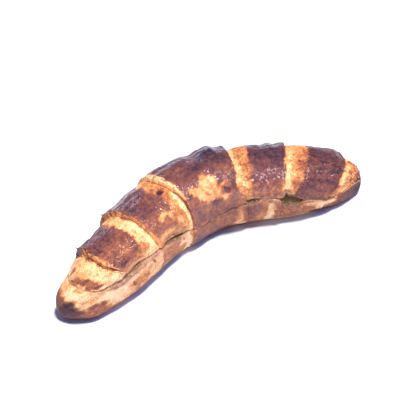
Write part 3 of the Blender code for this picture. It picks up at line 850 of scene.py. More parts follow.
def wrap_relief(wrap, t, u, angle):
    """The surface's main offset in mm inside one wrap, at share t from its left edge."""
    if wrap == MIDDLE_WRAP:
        left = np.clip(1.0 - t / MIDDLE_LEFT_REACH, 0, 1) ** 1.5
        right = np.clip((t - MIDDLE_RIGHT_FROM) / (1.0 - MIDDLE_RIGHT_FROM), 0, 1) ** 1.5
        crown = np.sin(math.pi * np.clip(t, 0, 1)) * np.cos(np.radians(angle - 90.0)) ** 2
        rise = at_edge(wrap, "lip", angle) * left + at_edge(wrap + 1, "lip", angle) * right
        rise = rise + CROWN_RISE_MM * crown
    else:
        outer, inner, outward = wrap + 1, wrap, t
        if wrap < MIDDLE_WRAP:
            outer, inner, outward = wrap, wrap + 1, 1.0 - t
        rise = -at_edge(inner, "sunk", angle) * np.clip(1 - outward / SINK_REACH, 0, 1) ** 2
        if 0 < wrap < len(WRAP_EDGES):
            climb = np.clip((outward - LIP_FROM) / (1.0 - LIP_FROM), 0, 1) ** 2
            rise = rise + at_edge(outer, "lip", angle) * climb
    for height, along, around, phase in UNEVEN_WAVES_MM:
        wave = np.sin(2 * math.pi * along * u + phase) * np.cos(around * np.radians(angle) + phase)
        rise = rise + height * wave
    for middle, side, half_length, half_angle, height in BULGES:
        away = np.hypot((u - middle) / half_length, (round_angle(angle) - side) / half_angle)
        rise = rise + height * (1.0 - smooth(away))
    return rise * end_rounding(u)


def on_chart(u, angle):
    """Places on the crust as if laid flat: mm along the roll and mm around it."""
    return u * ROLL_LENGTH_MM, round_angle(angle) * AROUND_MM_PER_DEGREE


def oval_distance(x, y, oval, turn=0.0):
    """How far from an oval's middle, in shares of its half lengths: its rim is at 1."""
    place_u, place_angle, along, around = oval
    dx = x - place_u * ROLL_LENGTH_MM
    dy = y - place_angle * AROUND_MM_PER_DEGREE
    c, s = math.cos(math.radians(turn)), math.sin(math.radians(turn))
    return np.hypot((dx * c + dy * s) / along, (dy * c - dx * s) / around)


def crumbly_spots(x, y):
    """Scattered spots where the dough crumbled: how much browner, and how high in mm."""
    browner, higher = np.zeros(x.shape), np.zeros(x.shape)
    for place_u, place_angle, along, around, bake, height, size in CRUMBLY:
        away = oval_distance(x, y, (place_u, place_angle, along, around))
        near, _, number = cell_distances(x, y, size, 53)
        spot = 1.0 - smooth((near / size - SPOT_SHARES[0]) / SPOT_SHARES[1])
        spot = spot * (number > SPOTS_LEFT_OUT) * (1.0 - smooth((away - 0.6) / 0.5))
        browner = browner + bake * spot
        higher = higher + height * spot
    return browner, higher


def washed_net(x, y):
    """Pale lines round browner cells, where the wash dried in a net."""
    near, second, _ = cell_distances(x, y * 1.2, HONEYCOMB_CELL_MM, 47)
    net = 1.0 - smooth((second - near - HONEYCOMB_LINE_MM[0]) / HONEYCOMB_LINE_MM[1])
    browner = HONEYCOMB_BAKE[0] - HONEYCOMB_BAKE[1] * net
    return browner * (1.0 - smooth((oval_distance(x, y, HONEYCOMB) - 0.6) / 0.6))


def between(angle, limits):
    """Rises smoothly from 0 at the first of two angles to 1 at the second."""
    return smooth((round_angle(angle) - limits[0]) / (limits[1] - limits[0]))


def bake_of(wrap, u, angle, patches):
    """How brown the crust is at each point, and how much its wash shines there."""
    x, y = on_chart(u, angle)
    flat = spots_at(x, y)
    for amount, size in BAKE_WARP_MM:
        x = x + amount * layered_noise(flat, size, 2, 11)
        y = y + amount * layered_noise(flat, size, 2, 12)
    band = np.zeros(x.shape)
    if wrap == MIDDLE_WRAP:
        band = np.ones(x.shape)
    elif wrap in BAND_FADES:
        fade = at_angle(BAND_FADES[wrap], y / AROUND_MM_PER_DEGREE)
        past_fade = (x / ROLL_LENGTH_MM - fade) * ROLL_LENGTH_MM / FADE_MM
        band = smooth(past_fade if wrap > MIDDLE_WRAP else -past_fade)
    nearest_band = min(max(wrap, 1), len(BAND_BAKE)) - 1
    brown = at_angle(BAND_BAKE[nearest_band], angle)
    pale = at_angle(REST_BAKE[wrap], angle)
    bake = pale + (brown - pale) * band
    for place_u, place_angle, along, around, turn, level, softness in patches:
        away = oval_distance(x, y, (place_u, place_angle, along, around), turn)
        bake = bake + (level - bake) * (1.0 - smooth((away - 1.0 + softness) / (2.0 * softness)))
    bake = bake + washed_net(x, y) * (band > 0.2)
    bake = bake + (1.0 - 0.8 * band) * crumbly_spots(x, y)[0]
    for amount, size, drawn_out, seed in MOTTLES_MM:
        stretched = flat / np.array([drawn_out, 1.0, 1.0])
        bake = bake + amount * layered_noise(stretched, size, 2, seed)
    washed = DRY_SHINE + (1.0 - DRY_SHINE) * between(angle, WASH_ANGLES)
    streaks = layered_noise(flat * np.array([0.25, 1.0, 1.0]), STREAK_MM, 2, 29)
    broken = between(angle, STREAK_ANGLES) * (1.0 - smooth(streaks / 0.30 + 0.4))
    return bake, band * BAND_SHINE[nearest_band] * washed * (1.0 - 0.9 * broken)


def bubbles(x, y, bake):
    """Blisters of the glaze, in mm: tall in the bubbled places, low on other brown crust."""
    near, _, number = cell_distances(x, y, BUBBLE_MM, 31)
    radius = BUBBLE_MM * (BUBBLE_RADIUS_SHARES[0] + BUBBLE_RADIUS_SHARES[1] * number)
    dome = np.clip(1.0 - (near / radius) ** 2, 0.0, 1.0) * (number > BUBBLES_LEFT_OUT)
    tall = PLAIN_BUBBLES_MM * np.clip((bake - 0.35) * 3.0, 0, 1)
    for row in GLAZE_BUBBLES:
        tall = np.maximum(tall, row[4] * (1.0 - smooth(oval_distance(x, y, row[:4]))))
    return tall * dome


def cracks_and_pits(x, y, bake):
    """A raised net on browned crust and pits in pale crust, in mm."""
    height, size = CRACK_NET_MM
    near, second, _ = cell_distances(x, y, size, 35)
    net = 1.0 - smooth((second - near) / CRACK_LINE_MM)
    depth, size, rim = PITS_MM
    near, _, number = cell_distances(x, y, size, 39)
    pit = np.clip(1.0 - (near / rim) ** 2, 0.0, 1.0) * (number > PITS_LEFT_OUT)
    brown, pale = np.clip((bake - 0.3) * 3.0, 0, 1), np.clip((0.5 - bake) * 4.0, 0, 1)
    return height * net * brown - depth * pit * pale


def torn_rims(wrap, u, angle, flat):
    """Torn rims raised along the lips and the crust sunk at their foot, in mm."""
    from_left = (u - edge_place(wrap, angle)) * ROLL_LENGTH_MM
    from_right = (edge_place(wrap + 1, angle) - u) * ROLL_LENGTH_MM
    torn = 0.5 + 0.8 * layered_noise(flat, 1.8, 2, 25)
    above = between(angle, TORN_RIM_ANGLES)
    lip_reach, foot_reach = TORN_RIM_REACH_MM
    rise = np.zeros(u.shape)
    if 0 < wrap <= MIDDLE_WRAP:
        rise = rise + above * torn * np.exp(-from_left / lip_reach)
    if MIDDLE_WRAP <= wrap < len(WRAP_EDGES):
        rise = rise + torn * np.exp(-from_right / lip_reach)
    if wrap > MIDDLE_WRAP:
        rise = rise - np.exp(-from_left / foot_reach)
    if wrap < MIDDLE_WRAP:
        rise = rise - above * np.exp(-from_right / foot_reach)
    return TORN_RIM_MM * rise


def fine_relief(wrap, u, angle, bake):
    """Small offsets in mm: swells, blisters, creases, pits and torn rims."""
    x, y = on_chart(u, angle)
    flat = spots_at(x, y, 5.0 * wrap)
    rise = CRUST_SWELLS[0] * layered_noise(flat, *CRUST_SWELLS[1:])
    rise = rise + DRAWN_GRAIN[0] * layered_noise(flat * np.array([0.45, 1.0, 1.0]), *DRAWN_GRAIN[1:])
    lumps = FAR_LUMPS[0] * layered_noise(flat * np.array([0.5, 1.0, 1.0]), *FAR_LUMPS[1:])
    rise = rise + lumps * between(angle, FAR_LUMP_ANGLES)
    rise = rise + bubbles(x, y, bake) + crumbly_spots(x, y)[1] + cracks_and_pits(x, y, bake)
    return rise + torn_rims(wrap, u, angle, flat)


def bake_at_lips(wrap, u, angle, bake, shine):
    """The bake with the brown flaked off along the left lips and the crevices darkened, partly as burnt
    wash and partly as painted shade.
    """
    for edge, widths in TORN_PALE_MM.items():
        from_lip = np.abs(u - edge_place(edge, angle)) * ROLL_LENGTH_MM
        streaks = spots_at(u * ROLL_LENGTH_MM / 0.9, angle * AROUND_MM_PER_DEGREE / 2.6, 3.0)
        width = np.maximum(at_angle(widths, angle), 0.01) * (1.0 + 0.7 * value_noise(streaks, 77))
        torn = (1.0 - smooth((from_lip - width) / 0.5)) * (width > 0.15) * (shine > 0.05)
        bake = bake + (TORN_PALE_BAKE[edge] - bake) * torn * 0.9
    if wrap == MIDDLE_WRAP:
        return bake
    if wrap < MIDDLE_WRAP:
        from_lip, darkness = edge_place(wrap + 1, angle) - u, CREVICES[wrap]
    else:
        from_lip, darkness = u - edge_place(wrap, angle), RIGHT_CREVICES[wrap - MIDDLE_WRAP - 1]
    # the crevice's dark line is partly burnt wash and partly painted shade under the lip
    crevice = np.clip(np.exp(-from_lip * ROLL_LENGTH_MM / CREVICE_MM), 0, 1)
    return bake + (CREVICE_BURNT_AND_SHADED_BAKE - bake) * crevice * at_angle(darkness, angle)


def crust_point(wrap, t, u, angle, patches):
    """Sideways distance and level of the crust in mm, its bake and how its wash shines."""
    sideways, level = section_point(u, angle)
    bake, shine = bake_of(wrap, u, angle, patches)
    rise = wrap_relief(wrap, t, u, angle)
    rise = rise + fine_relief(wrap, u, angle, bake) * np.clip(end_rounding(u) * 1.4, 0, 1)
    turn = np.radians(angle)
    lift = rise * np.sin(turn) * smooth((level - 1.0) / 6.0)
    bake = bake_at_lips(wrap, u, angle, bake, shine)
    return sideways + rise * np.cos(turn), level + lift, bake, shine


def gap_at(u, sideways):
    """The cut's opening in mm: least at the outer side, most at the hollow side."""
    half_width = np.maximum(section_sizes(u)[0], 1.0)
    opening = np.full(np.shape(u), HOLLOW_SIDE_GAP_MM)
    for middle, half_length, most in GAPES:
        lobe = 1.0 - smooth(np.abs(u - middle) / half_length)
        opening = np.maximum(opening, HOLLOW_SIDE_GAP_MM + (most - HOLLOW_SIDE_GAP_MM) * lobe)
    share = np.clip((sideways / half_width + 1.0) / 2.0, 0.0, 1.0) ** GAPE_POWER
    return CLOSED_GAP_MM + (opening - CLOSED_GAP_MM) * share


def place(u, sideways, level):
    """World points in metres."""
    centre, slope = natural_spline(SPINE_MM, u)
    length = np.hypot(slope[..., 0], slope[..., 1])
    near_x, near_y = slope[..., 1] / length, -slope[..., 0] / length
    x = centre[..., 0] + near_x * sideways
    y = centre[..., 1] + near_y * sideways
    return np.stack([x, y, level], axis=-1) * MM


def lip_angles(wrap, t, outer):
    """The angle at which each row meets the cut, found by correcting its place."""
    angle = np.full(t.shape, 150.0 if outer else 30.0)
    for _ in range(4):
        angle = cut_angle(wrap_place(wrap, t, angle))
        angle = 180.0 - angle if outer else angle
    return angle


def row_shares(length_share):
    """Shares along one wrap, closer together at both of its edges."""
    count = max(int(length_share * ROLL_LENGTH_MM / (ROW_STEP_MM * COARSE)), 6)
    even = np.linspace(0.0, 1.0, count)
    return even - ROWS_DRAWN_IN * np.sin(2 * math.pi * even) / (2 * math.pi)


def wrap_rows(wrap):
    """The shares at which one wrap's rows of rings lie."""
    start, end = edge_place(wrap, np.array(ROW_ANGLE)), edge_place(wrap + 1, np.array(ROW_ANGLE))
    return row_shares(float(end - start))


def closer_at_far(count):
    """Shares between 0 and 1, without both, closer together towards 1."""
    return 1.0 - (1.0 - np.linspace(0.0, 1.0, count + 2)[1:-1]) ** 1.8


def torn_lip(u, seed):
    """Tears along the slit's lips, from -1 to 1."""
    return layered_noise(spots_at(np.asarray(u) * ROLL_LENGTH_MM, 0.0), 4.0, 3, seed)


def crumb_relief(points, seed):
    """Pores and tears of the cut crumb, in mm."""
    flat = points / MM * np.array([1.0, 1.0, 0.2])
    tears = layered_noise(flat, 3.0, 3, seed)
    return 0.25 * tears - 0.25 * np.abs(layered_noise(flat, 1.2, 2, seed + 5))


def torn_crumb(from_cut, reach, u, seed):
    """How much torn crumb shows some mm from the cut, where it reaches about so far."""
    edge = reach * (1.0 + TORN_LIP_SWAY * torn_lip(u, seed))
    fade = 1.0 - smooth((from_cut - 0.7 * edge) / np.maximum(0.6 * edge, 0.05))
    return fade * (edge > 0.05)


def lid_puff(u, angle):
    """How far the lid's end puffs up, in mm."""
    return LID_PUFF_MM * (1.0 - smooth(u / LID_PUFF_END)) * np.sin(np.radians(angle))


def lid_rings():
    """Rows of closed rings: points, bake, shine of the wash, and crumb."""
    crown_count, cut_count = int(CROWN_COLUMNS / COARSE), int(LID_CUT_COLUMNS / COARSE)
    span = np.linspace(0.0, 1.0, crown_count)
    pick = (1.0 - closer_at_far(cut_count))[::-1]
    blocks = []
    for wrap in range(len(WRAP_EDGES) + 1):
        t = wrap_rows(wrap)
        near, far = lip_angles(wrap, t, False), lip_angles(wrap, t, True)
        angle = near[:, None] + (far - near)[:, None] * span
        t = t[:, None]
        u = wrap_place(wrap, t, angle)
        sideways, level, bake, shine = crust_point(wrap, t, u, angle, BAKE_PATCHES)
        knife = cut_level(u) + gap_at(u, sideways) * LID_GAP_SHARE
        # the near lip is drawn back and torn
        lip = 1.0 - smooth((level - knife) / LIP_REACH_MM)
        sideways = sideways - lobes(u, DRAWN_BACK) * lip * (angle < 90.0)
        sideways = sideways + TORN_LIP_MM * torn_lip(u, 81) * lip**2 * (angle < 90.0)
        if wrap == 0:
            level = level + lid_puff(u, angle)
            full = np.sqrt(1.0 - (1.0 - np.clip(t / LID_ROUND_SHARE, 0.0, 1.0)) ** 2)
            edge = np.minimum(np.maximum(LID_EDGE_MM, level - knife - LID_STEP_MM), level - knife)
            level = knife + edge + (level - knife - edge) * full
        level = np.maximum(level, knife + LEAST_LID_MM)
        level[:, [0, -1]] = knife[:, [0, -1]]
        level[:, 0] += TORN_LIP_MM * np.maximum(torn_lip(u[:, 0], 83), 0.0)
        crown = place(u, sideways, level)
        # the cut face runs back from the far lip to the near one
        u = wrap_place(wrap, t, angle, False)
        cut_u = np.stack([np.interp(pick, span, row) for row in u])
        cut_side = np.stack([np.interp(pick, span, row) for row in sideways])
        floor = cut_level(cut_u) + gap_at(cut_u, cut_side) * LID_GAP_SHARE
        flat = place(cut_u, cut_side, floor)
        inner = smooth(np.minimum(pick, 1.0 - pick) / 0.02)
        flat[..., 2] += np.maximum(crumb_relief(flat, 61), -LID_PORE_MM) * MM * inner
        torn = torn_crumb(level - knife, lobes(u, CRUMB_EDGES) * (angle < 90.0), u, 91)
        # past 1 the crumb mark is painted shade: the cut face darkens further in from the near lip
        inside = 1.0 + smooth((sideways[:, :1] - cut_side - LIT_INSIDE_MM) / DARK_INSIDE_MM)
        filler = np.full(cut_u.shape, CUT_FACE_BAKE)
        blocks.append((
            np.concatenate([crown, flat], axis=1),
            np.concatenate([bake, filler], axis=1),
            np.concatenate([shine, 0.0 * filler], axis=1),
            np.concatenate([torn, inside], axis=1),
        ))
    return [np.concatenate(kind) for kind in zip(*blocks)]


def with_foot(grid, right, shares):
    """The rings with their flat foot filled in between the near side and the far side."""
    start, end = grid[:, right - 1][:, None], grid[:, right][:, None]
    if grid.ndim == 3:
        shares = shares[:, None]
    foot = start * (1.0 - shares) + end * shares
    return np.concatenate([grid[:, :right], foot, grid[:, right:]], axis=1)


def base_block(wrap, t, cut, tip_share=None):
    """Rings of the base along one wrap, closed over its cut face or over its round left tip."""
    near_count, far_count = int(NEAR_SIDE_COLUMNS / COARSE), int(FAR_SIDE_COLUMNS / COARSE)
    top_count, foot_count = int(TOP_COLUMNS / COARSE), int(FOOT_COLUMNS / COARSE)
    near = np.minimum(lip_angles(wrap, t, False), BASE_LIP_MAX)[:, None]
    far = np.minimum(180.0 - lip_angles(wrap, t, True), BASE_LIP_MAX)[:, None]
    down = near + (BOTTOM_ANGLE - near) * np.linspace(0.0, 1.0, near_count)
    up = BOTTOM_ANGLE + (far - BOTTOM_ANGLE) * np.linspace(0.0, 1.0, far_count)
    over = (180.0 - far) + (near - 180.0 + far) * closer_at_far(top_count)
    angle = np.concatenate([down, -180.0 - up, over], axis=1)
    u = wrap_place(wrap, t[:, None], angle)
    if tip_share is not None:
        u = (u - RIM_CLEAR[1 if cut else 0]) * tip_share[:, None]
    sideways, level, bake, shine = crust_point(wrap, t[:, None], u, angle, BAKE_PATCHES + BASE_PATCHES)
    crumb = np.zeros(u.shape)
    if tip_share is not None and not cut:
        above_cut = level - cut_level(u)
        groove = smooth((tip_share[:, None] - GROOVE_START) / (1.0 - GROOVE_START))
        groove = groove * (above_cut > -GROOVE_BELOW_CUT_MM)
        level = level - np.clip(above_cut - 0.1, 0.0, GROOVE_MM) * groove
        # the groove takes crumb colour, partly torn crumb and partly painted shade
        crumb = GROOVE_CRUMB_AND_SHADE * groove**2
    if cut:
        knife = cut_level(u) - gap_at(u, sideways) * (1.0 - LID_GAP_SHARE)
        lip = 1.0 - smooth(np.abs(level - knife) / LIP_REACH_MM)
        inside = np.abs(angle) < 90.0
        ragged = TORN_LIP_SWAY * TORN_LIP_MM * torn_lip(u, 87)
        sideways = sideways + (lobes(u, PROUD_LIP) + ragged) * lip * inside
        is_top = np.arange(u.shape[1]) >= near_count + far_count
        inward = sideways[:, :1] - sideways
        # painted shade: past 1 the crumb mark darkens the cut face further in from its lip and under the
        # lid, and the torn crumb on the side a little
        face = smooth((level - knife) / 0.6) + smooth((inward - LIT_INSIDE_MM) / DARK_INSIDE_MM)
        torn = torn_crumb(knife - level, lobes(u, BASE_CRUMB_EDGES) * inside, u, 93)
        shade = lobes(u, SHADED_CUT)
        crumb = np.where(is_top, face + shade, torn * (1.0 + 0.4 * shade))
        points = place(u, sideways, knife)
        rough = np.minimum(crumb_relief(points, 71), BASE_CRUMB_MM) * is_top
        level = np.minimum(level, knife + rough * smooth((level - knife) / 2.0))
    ring = place(u, sideways, level)
    shares = np.linspace(0.0, 1.0, foot_count + 2)[1:-1]
    return [with_foot(grid, near_count, shares) for grid in (ring, bake, shine, crumb)]


def base_rings():
    """The base's rings: its round left tip, the rim in under the lid's end, then each wrap."""
    shares = row_shares(float(edge_place(0, np.array(ROW_ANGLE))))
    shares = np.concatenate([TIP_ROWS, shares[shares > TIP_ROWS[-1] + 0.01]])
    blocks = [base_block(0, np.zeros(len(shares)), False, shares)]
    blocks.append(base_block(0, np.zeros(1), True, np.ones(1)))
    for wrap in range(len(WRAP_EDGES) + 1):
        t = wrap_rows(wrap)
        blocks.append(base_block(wrap, t[t > RIM_ROWS] if wrap == 0 else t, True))
    return [np.concatenate(kind) for kind in zip(*blocks)]


def loft(name, rings, material):
    """Skins rows of closed rings with quads, closes both ends and keeps the attributes."""
    points, *marks = rings
    rows, columns = points.shape[:2]
    low, high = np.array(CAD_BOX[0]), np.array(CAD_BOX[1])
    points = np.clip(points, low, high)
    index = np.arange(rows * columns).reshape(rows, columns)
    following = np.roll(index, -1, axis=1)
    quads = np.stack([index[:-1], index[1:], following[1:], following[:-1]], -1).reshape(-1, 4)
    first, last = rows * columns, rows * columns + 1
    caps = [(int(a), int(b), first) for a, b in zip(following[0], index[0])]
    caps += [(int(a), int(b), last) for a, b in zip(index[-1], following[-1])]
    ends = np.stack([points[0].mean(0), points[-1].mean(0)])
    vertices = np.concatenate([points.reshape(-1, 3), ends])
    mesh = bpy.data.meshes.new(name)
    mesh.from_pydata(vertices.tolist(), [], quads.tolist() + caps)
    for label, grid in zip(("bake", "band", "crumb"), marks):
        ends = np.array([grid[0].mean(), grid[-1].mean()])
        values = np.concatenate([grid.reshape(-1), ends]).astype(np.float32)
        mesh.attributes.new(label, "FLOAT", "POINT").data.foreach_set("value", values)
    outward = bmesh.new()
    outward.from_mesh(mesh)
    bmesh.ops.recalc_face_normals(outward, faces=outward.faces)
    outward.to_mesh(mesh)
    outward.free()
    mesh.shade_smooth()
    piece = bpy.data.objects.new(name, mesh)
    piece.data.materials.append(material)
    bpy.context.scene.collection.objects.link(piece)
    return piece


# Flakes and crumbs

# Torn edges that shed flakes: wrap, shares along it, angles, flakes per square centimetre,
# longest flake in mm, how far they stand up in degrees, bake from one end to the other
FLAKY_EDGES = (
    (0, (0.00, 0.10), (20.0, 125.0), 26, 1.5, 16, (0.06, 0.20)),
    (0, (0.84, 0.99), (24.0, 150.0), 44, 3.2, 16, (0.04, 0.20)),
    (1, (0.00, 0.05), (44.0, 84.0), 38, 2.8, 18, (0.16, 0.36)),
    (1, (0.00, 0.05), (84.0, 150.0), 40, 3.4, 24, (0.45, 0.72)),
    (1, (0.90, 0.99), (80.0, 150.0), 24, 2.2, 14, (0.14, 0.26)),
    (2, (0.00, 0.03), (70.0, 150.0), 40, 2.8, 20, (0.34, 0.60)),
    (2, (0.92, 0.99), (40.0, 110.0), 22, 1.8, 12, (0.10, 0.24)),
    (3, (0.00, 0.03), (58.0, 110.0), 26, 1.8, 14, (0.25, 0.45)),
    (5, (0.24, 0.40), (20.0, 110.0), 16, 1.5, 8, (0.24, 0.34)),
    (5, (0.95, 1.00), (0.0, 90.0), 26, 1.6, 16, (0.45, 0.70)),
    (6, (0.10, 0.90), (14.0, 110.0), 26, 1.6, 18, (0.14, 0.48)),
)
FLAKE_WIDTH_SHARE = 0.5
FLAKE_THICKNESS_MM = 0.16
# how far a flake's ends curl up and narrow
FLAKE_CURL = 1.6
FLAKE_PINCH = -1.3
FLAKE_RAGGED_MM = 0.6
FLAKES_FIRST_SEED = 11
# Where crumb crumbles along the slit: shares of the length, mm in from the lip, crumbs per
# square centimetre, widest crumb in mm
CRUMBLY_SLIT = (
    ((0.095, 0.275), (0.1, 2.0), 34, 1.0),
    ((0.290, 0.400), (0.1, 1.6), 24, 0.9),
    ((0.600, 0.760), (0.0, 2.4), 36, 1.1),
    ((0.800, 0.890), (0.0, 1.6), 26, 0.9),
)
CRUMB_RAGGED_MM = 0.8
CRUMBS_FIRST_SEED = 51
# the strips that flakes and crumbs grow on: points along and across
EDGE_STRIP = (60, 4)
SLIT_STRIP = (80, 4)
PER_SQUARE_CM = 10000.0


def ribbon(name, points, marks):
    """An open strip of quads that flakes grow on, facing away from the roll's middle."""
    rows, columns = points.shape[:2]
    index = np.arange(rows * columns).reshape(rows, columns)
    corners = (index[:-1, :-1], index[1:, :-1], index[1:, 1:], index[:-1, 1:])
    quads = np.stack(corners, -1).reshape(-1, 4)
    across = np.cross(points[1, 0] - points[0, 0], points[0, 1] - points[0, 0])
    middle = np.append(points.mean((0, 1))[:2] * 0.9, 0.0)
    if np.dot(across, points[0, 0] - middle) < 0.0:
        quads = quads[:, ::-1]
    mesh = bpy.data.meshes.new(name)
    mesh.from_pydata(points.reshape(-1, 3).tolist(), [], quads.tolist())
    for label, values in marks.items():
        values = np.broadcast_to(values, (rows, columns)).reshape(-1).astype(np.float32)
        mesh.attributes.new(label, "FLOAT", "POINT").data.foreach_set("value", values)
    strip = bpy.data.objects.new(name, mesh)
    bpy.context.scene.collection.objects.link(strip)
    return strip


def edge_ribbon(name, wrap, shares, angles, bakes):
    """Lies on the crust along one torn edge of the lid."""
    along, across = EDGE_STRIP
    angle = np.linspace(angles[0], angles[1], along)[:, None] * np.ones(across)
    t = np.linspace(shares[0], shares[1], across) * np.ones(angle.shape)
    u = wrap_place(wrap, t, angle)
    sideways, level, _, _ = crust_point(wrap, t, u, angle, BAKE_PATCHES)
    if wrap == 0:
        level = level + lid_puff(u, angle)
        level = level - LID_STEP_MM * (1.0 - np.clip(t / LID_ROUND_SHARE, 0.0, 1.0)) ** 2
    bake = np.linspace(bakes[0], bakes[1], along)[:, None]
    return ribbon(name, place(u, sideways, level), {"bake": bake, "band": 0.0, "crumb": 0.0})


def slit_ribbon(name, span, reach_mm):
    """Lies on the base's cut face behind its near lip."""
    along, across = SLIT_STRIP
    u = np.linspace(span[0], span[1], along)[:, None] * np.ones(across)
    lip = section_point(u, np.minimum(cut_angle(u), BASE_LIP_MAX))[0]
    sideways = lip - np.linspace(reach_mm[0], reach_mm[1], across)
    level = cut_level(u) - gap_at(u, sideways) * (1.0 - LID_GAP_SHARE)
    return ribbon(name, place(u, sideways, level), {"bake": 0.1, "band": 0.0, "crumb": 0.9})


def scatter_tree(name, sizes, shape_of):
    """Geometry Nodes: chips of one shape scattered over a strip, turned, sized and made real."""
    tree = bpy.data.node_groups.new(name, "GeometryNodeTree")
    tree.interface.new_socket("Geometry", in_out="INPUT", socket_type="NodeSocketGeometry")
    for label, kind in sizes:
        tree.interface.new_socket(label, in_out="INPUT", socket_type=kind)
    tree.interface.new_socket("Geometry", in_out="OUTPUT", socket_type="NodeSocketGeometry")
    given = add_node(tree, "NodeGroupInput").outputs
    spots = add_node(tree, "GeometryNodeDistributePointsOnFaces", None, {
        "Mesh": given["Geometry"],
        "Density": given["Chips per square metre"],
        "Seed": given["Seed"],
    })
    # each chip leans by up to its lean, turns any way round and has its own size
    lean = add_node(tree, "ShaderNodeCombineXYZ", None, {
        "X": given["Lean"],
        "Y": given["Lean"],
        "Z": math.pi,
    })
    back = add_node(tree, "ShaderNodeVectorMath", {"operation": "SCALE"}, {
        0: lean.outputs[0],
        "Scale": -1.0,
    })
    turn = add_node(tree, "FunctionNodeRandomValue", {"data_type": "FLOAT_VECTOR"}, {
        0: back.outputs[0],
        1: lean.outputs[0],
        "Seed": given["Seed"],
    })
    extra = add_node(tree, "FunctionNodeEulerToRotation", None, {0: turn.outputs[0]})
    facing = add_node(tree, "FunctionNodeRotateRotation", {"rotation_space": "LOCAL"}, {
        0: spots.outputs["Rotation"],
        1: extra.outputs[0],
    })
    size = add_node(tree, "FunctionNodeRandomValue", {"data_type": "FLOAT_VECTOR"}, {
        0: LEAST_CHIP,
        1: (1.0, 1.0, 1.0),
        "Seed": given["Seed"],
    })
    chips = add_node(tree, "GeometryNodeInstanceOnPoints", None, {
        "Points": spots.outputs["Points"],
        "Instance": shape_of(tree, given),
        "Rotation": facing.outputs[0],
        "Scale": size.outputs[0],
    })
    real = add_node(tree, "GeometryNodeRealizeInstances", None, {"Geometry": chips.outputs[0]})
    # noise about 1 mm across makes no two chips alike
    noise = add_node(tree, "ShaderNodeTexNoise", None, {
        "Scale": per_metre(CHIP_NOISE_MM),
        "Detail": 1.0,
    })
    centred = add_node(tree, "ShaderNodeVectorMath", {"operation": "SUBTRACT"}, {
        0: noise.outputs["Color"],
        1: (0.5, 0.5, 0.5),
    })
    ragged = add_node(tree, "ShaderNodeVectorMath", {"operation": "SCALE"}, {
        0: centred.outputs[0],
        "Scale": given["Raggedness"],
    })
    moved = add_node(tree, "GeometryNodeSetPosition", None, {
        "Geometry": real.outputs[0],
        "Offset": ragged.outputs[0],
    })
    finish = add_node(tree, "GeometryNodeSetMaterial", None, {
        "Geometry": moved.outputs[0],
        "Material": given["Crust"],
    })
    add_node(tree, "NodeGroupOutput", None, {"Geometry": finish.outputs[0]})
    return tree


def curled_chip(tree, given):
    """A thin leaf of pastry, longer than wide, its ends curled up and pinched."""
    width = add_node(tree, "ShaderNodeMath", {"operation": "MULTIPLY"}, {
        0: given["Longest"],
        1: FLAKE_WIDTH_SHARE,
    })
    size = add_node(tree, "ShaderNodeCombineXYZ", None, {
        "X": given["Longest"],
        "Y": width.outputs[0],
        "Z": given["Thickness"],
    })
    leaf = add_node(tree, "GeometryNodeMeshCube", None, {
        "Size": size.outputs[0],
        "Vertices X": 5,
        "Vertices Y": 3,
        "Vertices Z": 2,
    })
    where = add_node(tree, "GeometryNodeInputPosition")
    apart = add_node(tree, "ShaderNodeSeparateXYZ", None, {0: where.outputs[0]})
    along = add_node(tree, "ShaderNodeMath", {"operation": "DIVIDE"}, {
        0: apart.outputs["X"],
        1: given["Longest"],
    })
    squared = add_node(tree, "ShaderNodeMath", {"operation": "MULTIPLY"}, {
        0: along.outputs[0],
        1: apart.outputs["X"],
    })
    lift = add_node(tree, "ShaderNodeMath", {"operation": "MULTIPLY"}, {
        0: squared.outputs[0],
        1: FLAKE_CURL,
    })
    from_middle = add_node(tree, "ShaderNodeMath", {"operation": "ABSOLUTE"}, {0: along.outputs[0]})
    pinch = add_node(tree, "ShaderNodeMath", {"operation": "MULTIPLY"}, {
        0: from_middle.outputs[0],
        1: apart.outputs["Y"],
    })
    inward = add_node(tree, "ShaderNodeMath", {"operation": "MULTIPLY"}, {
        0: pinch.outputs[0],
        1: FLAKE_PINCH,
    })
    offset = add_node(tree, "ShaderNodeCombineXYZ", None, {
        "Y": inward.outputs[0],
        "Z": lift.outputs[0],
    })
    bent = add_node(tree, "GeometryNodeSetPosition", None, {
        "Geometry": leaf.outputs[0],
        "Offset": offset.outputs[0],
    })
    return bent.outputs[0]


def round_crumb(tree, given):
    """A rounded crumb."""
    half = add_node(tree, "ShaderNodeMath", {"operation": "MULTIPLY"}, {0: given["Longest"], 1: 0.5})
    ball = add_node(tree, "GeometryNodeMeshIcoSphere", None, {
        "Radius": half.outputs[0],
        "Subdivisions": 2,
    })
    return ball.outputs[0]


# the smallest chip's length, width and thickness as shares of the largest
LEAST_CHIP = (0.35, 0.4, 0.7)
CHIP_NOISE_MM = 1.111
CHIP_SIZES = (
    ("Chips per square metre", "NodeSocketFloat"),
    ("Longest", "NodeSocketFloat"),
    ("Thickness", "NodeSocketFloat"),
    ("Lean", "NodeSocketFloat"),
    ("Raggedness", "NodeSocketFloat"),
    ("Seed", "NodeSocketInt"),
    ("Crust", "NodeSocketMaterial"),
)


def shed(strip, tree, sizes):
    """The chips that one strip carries, as one plain mesh."""
    modifier = strip.modifiers.new("chips", "NODES")
    modifier.node_group = tree
    for item in tree.interface.items_tree:
        if item.in_out == "INPUT" and item.name in sizes:
            modifier[item.identifier] = sizes[item.name]
    graph = bpy.context.evaluated_depsgraph_get()
    mesh = bpy.data.meshes.new_from_object(strip.evaluated_get(graph))
    strip.modifiers.remove(modifier)
    strip_mesh = strip.data
    bpy.data.objects.remove(strip)
    bpy.data.meshes.remove(strip_mesh)
    return mesh


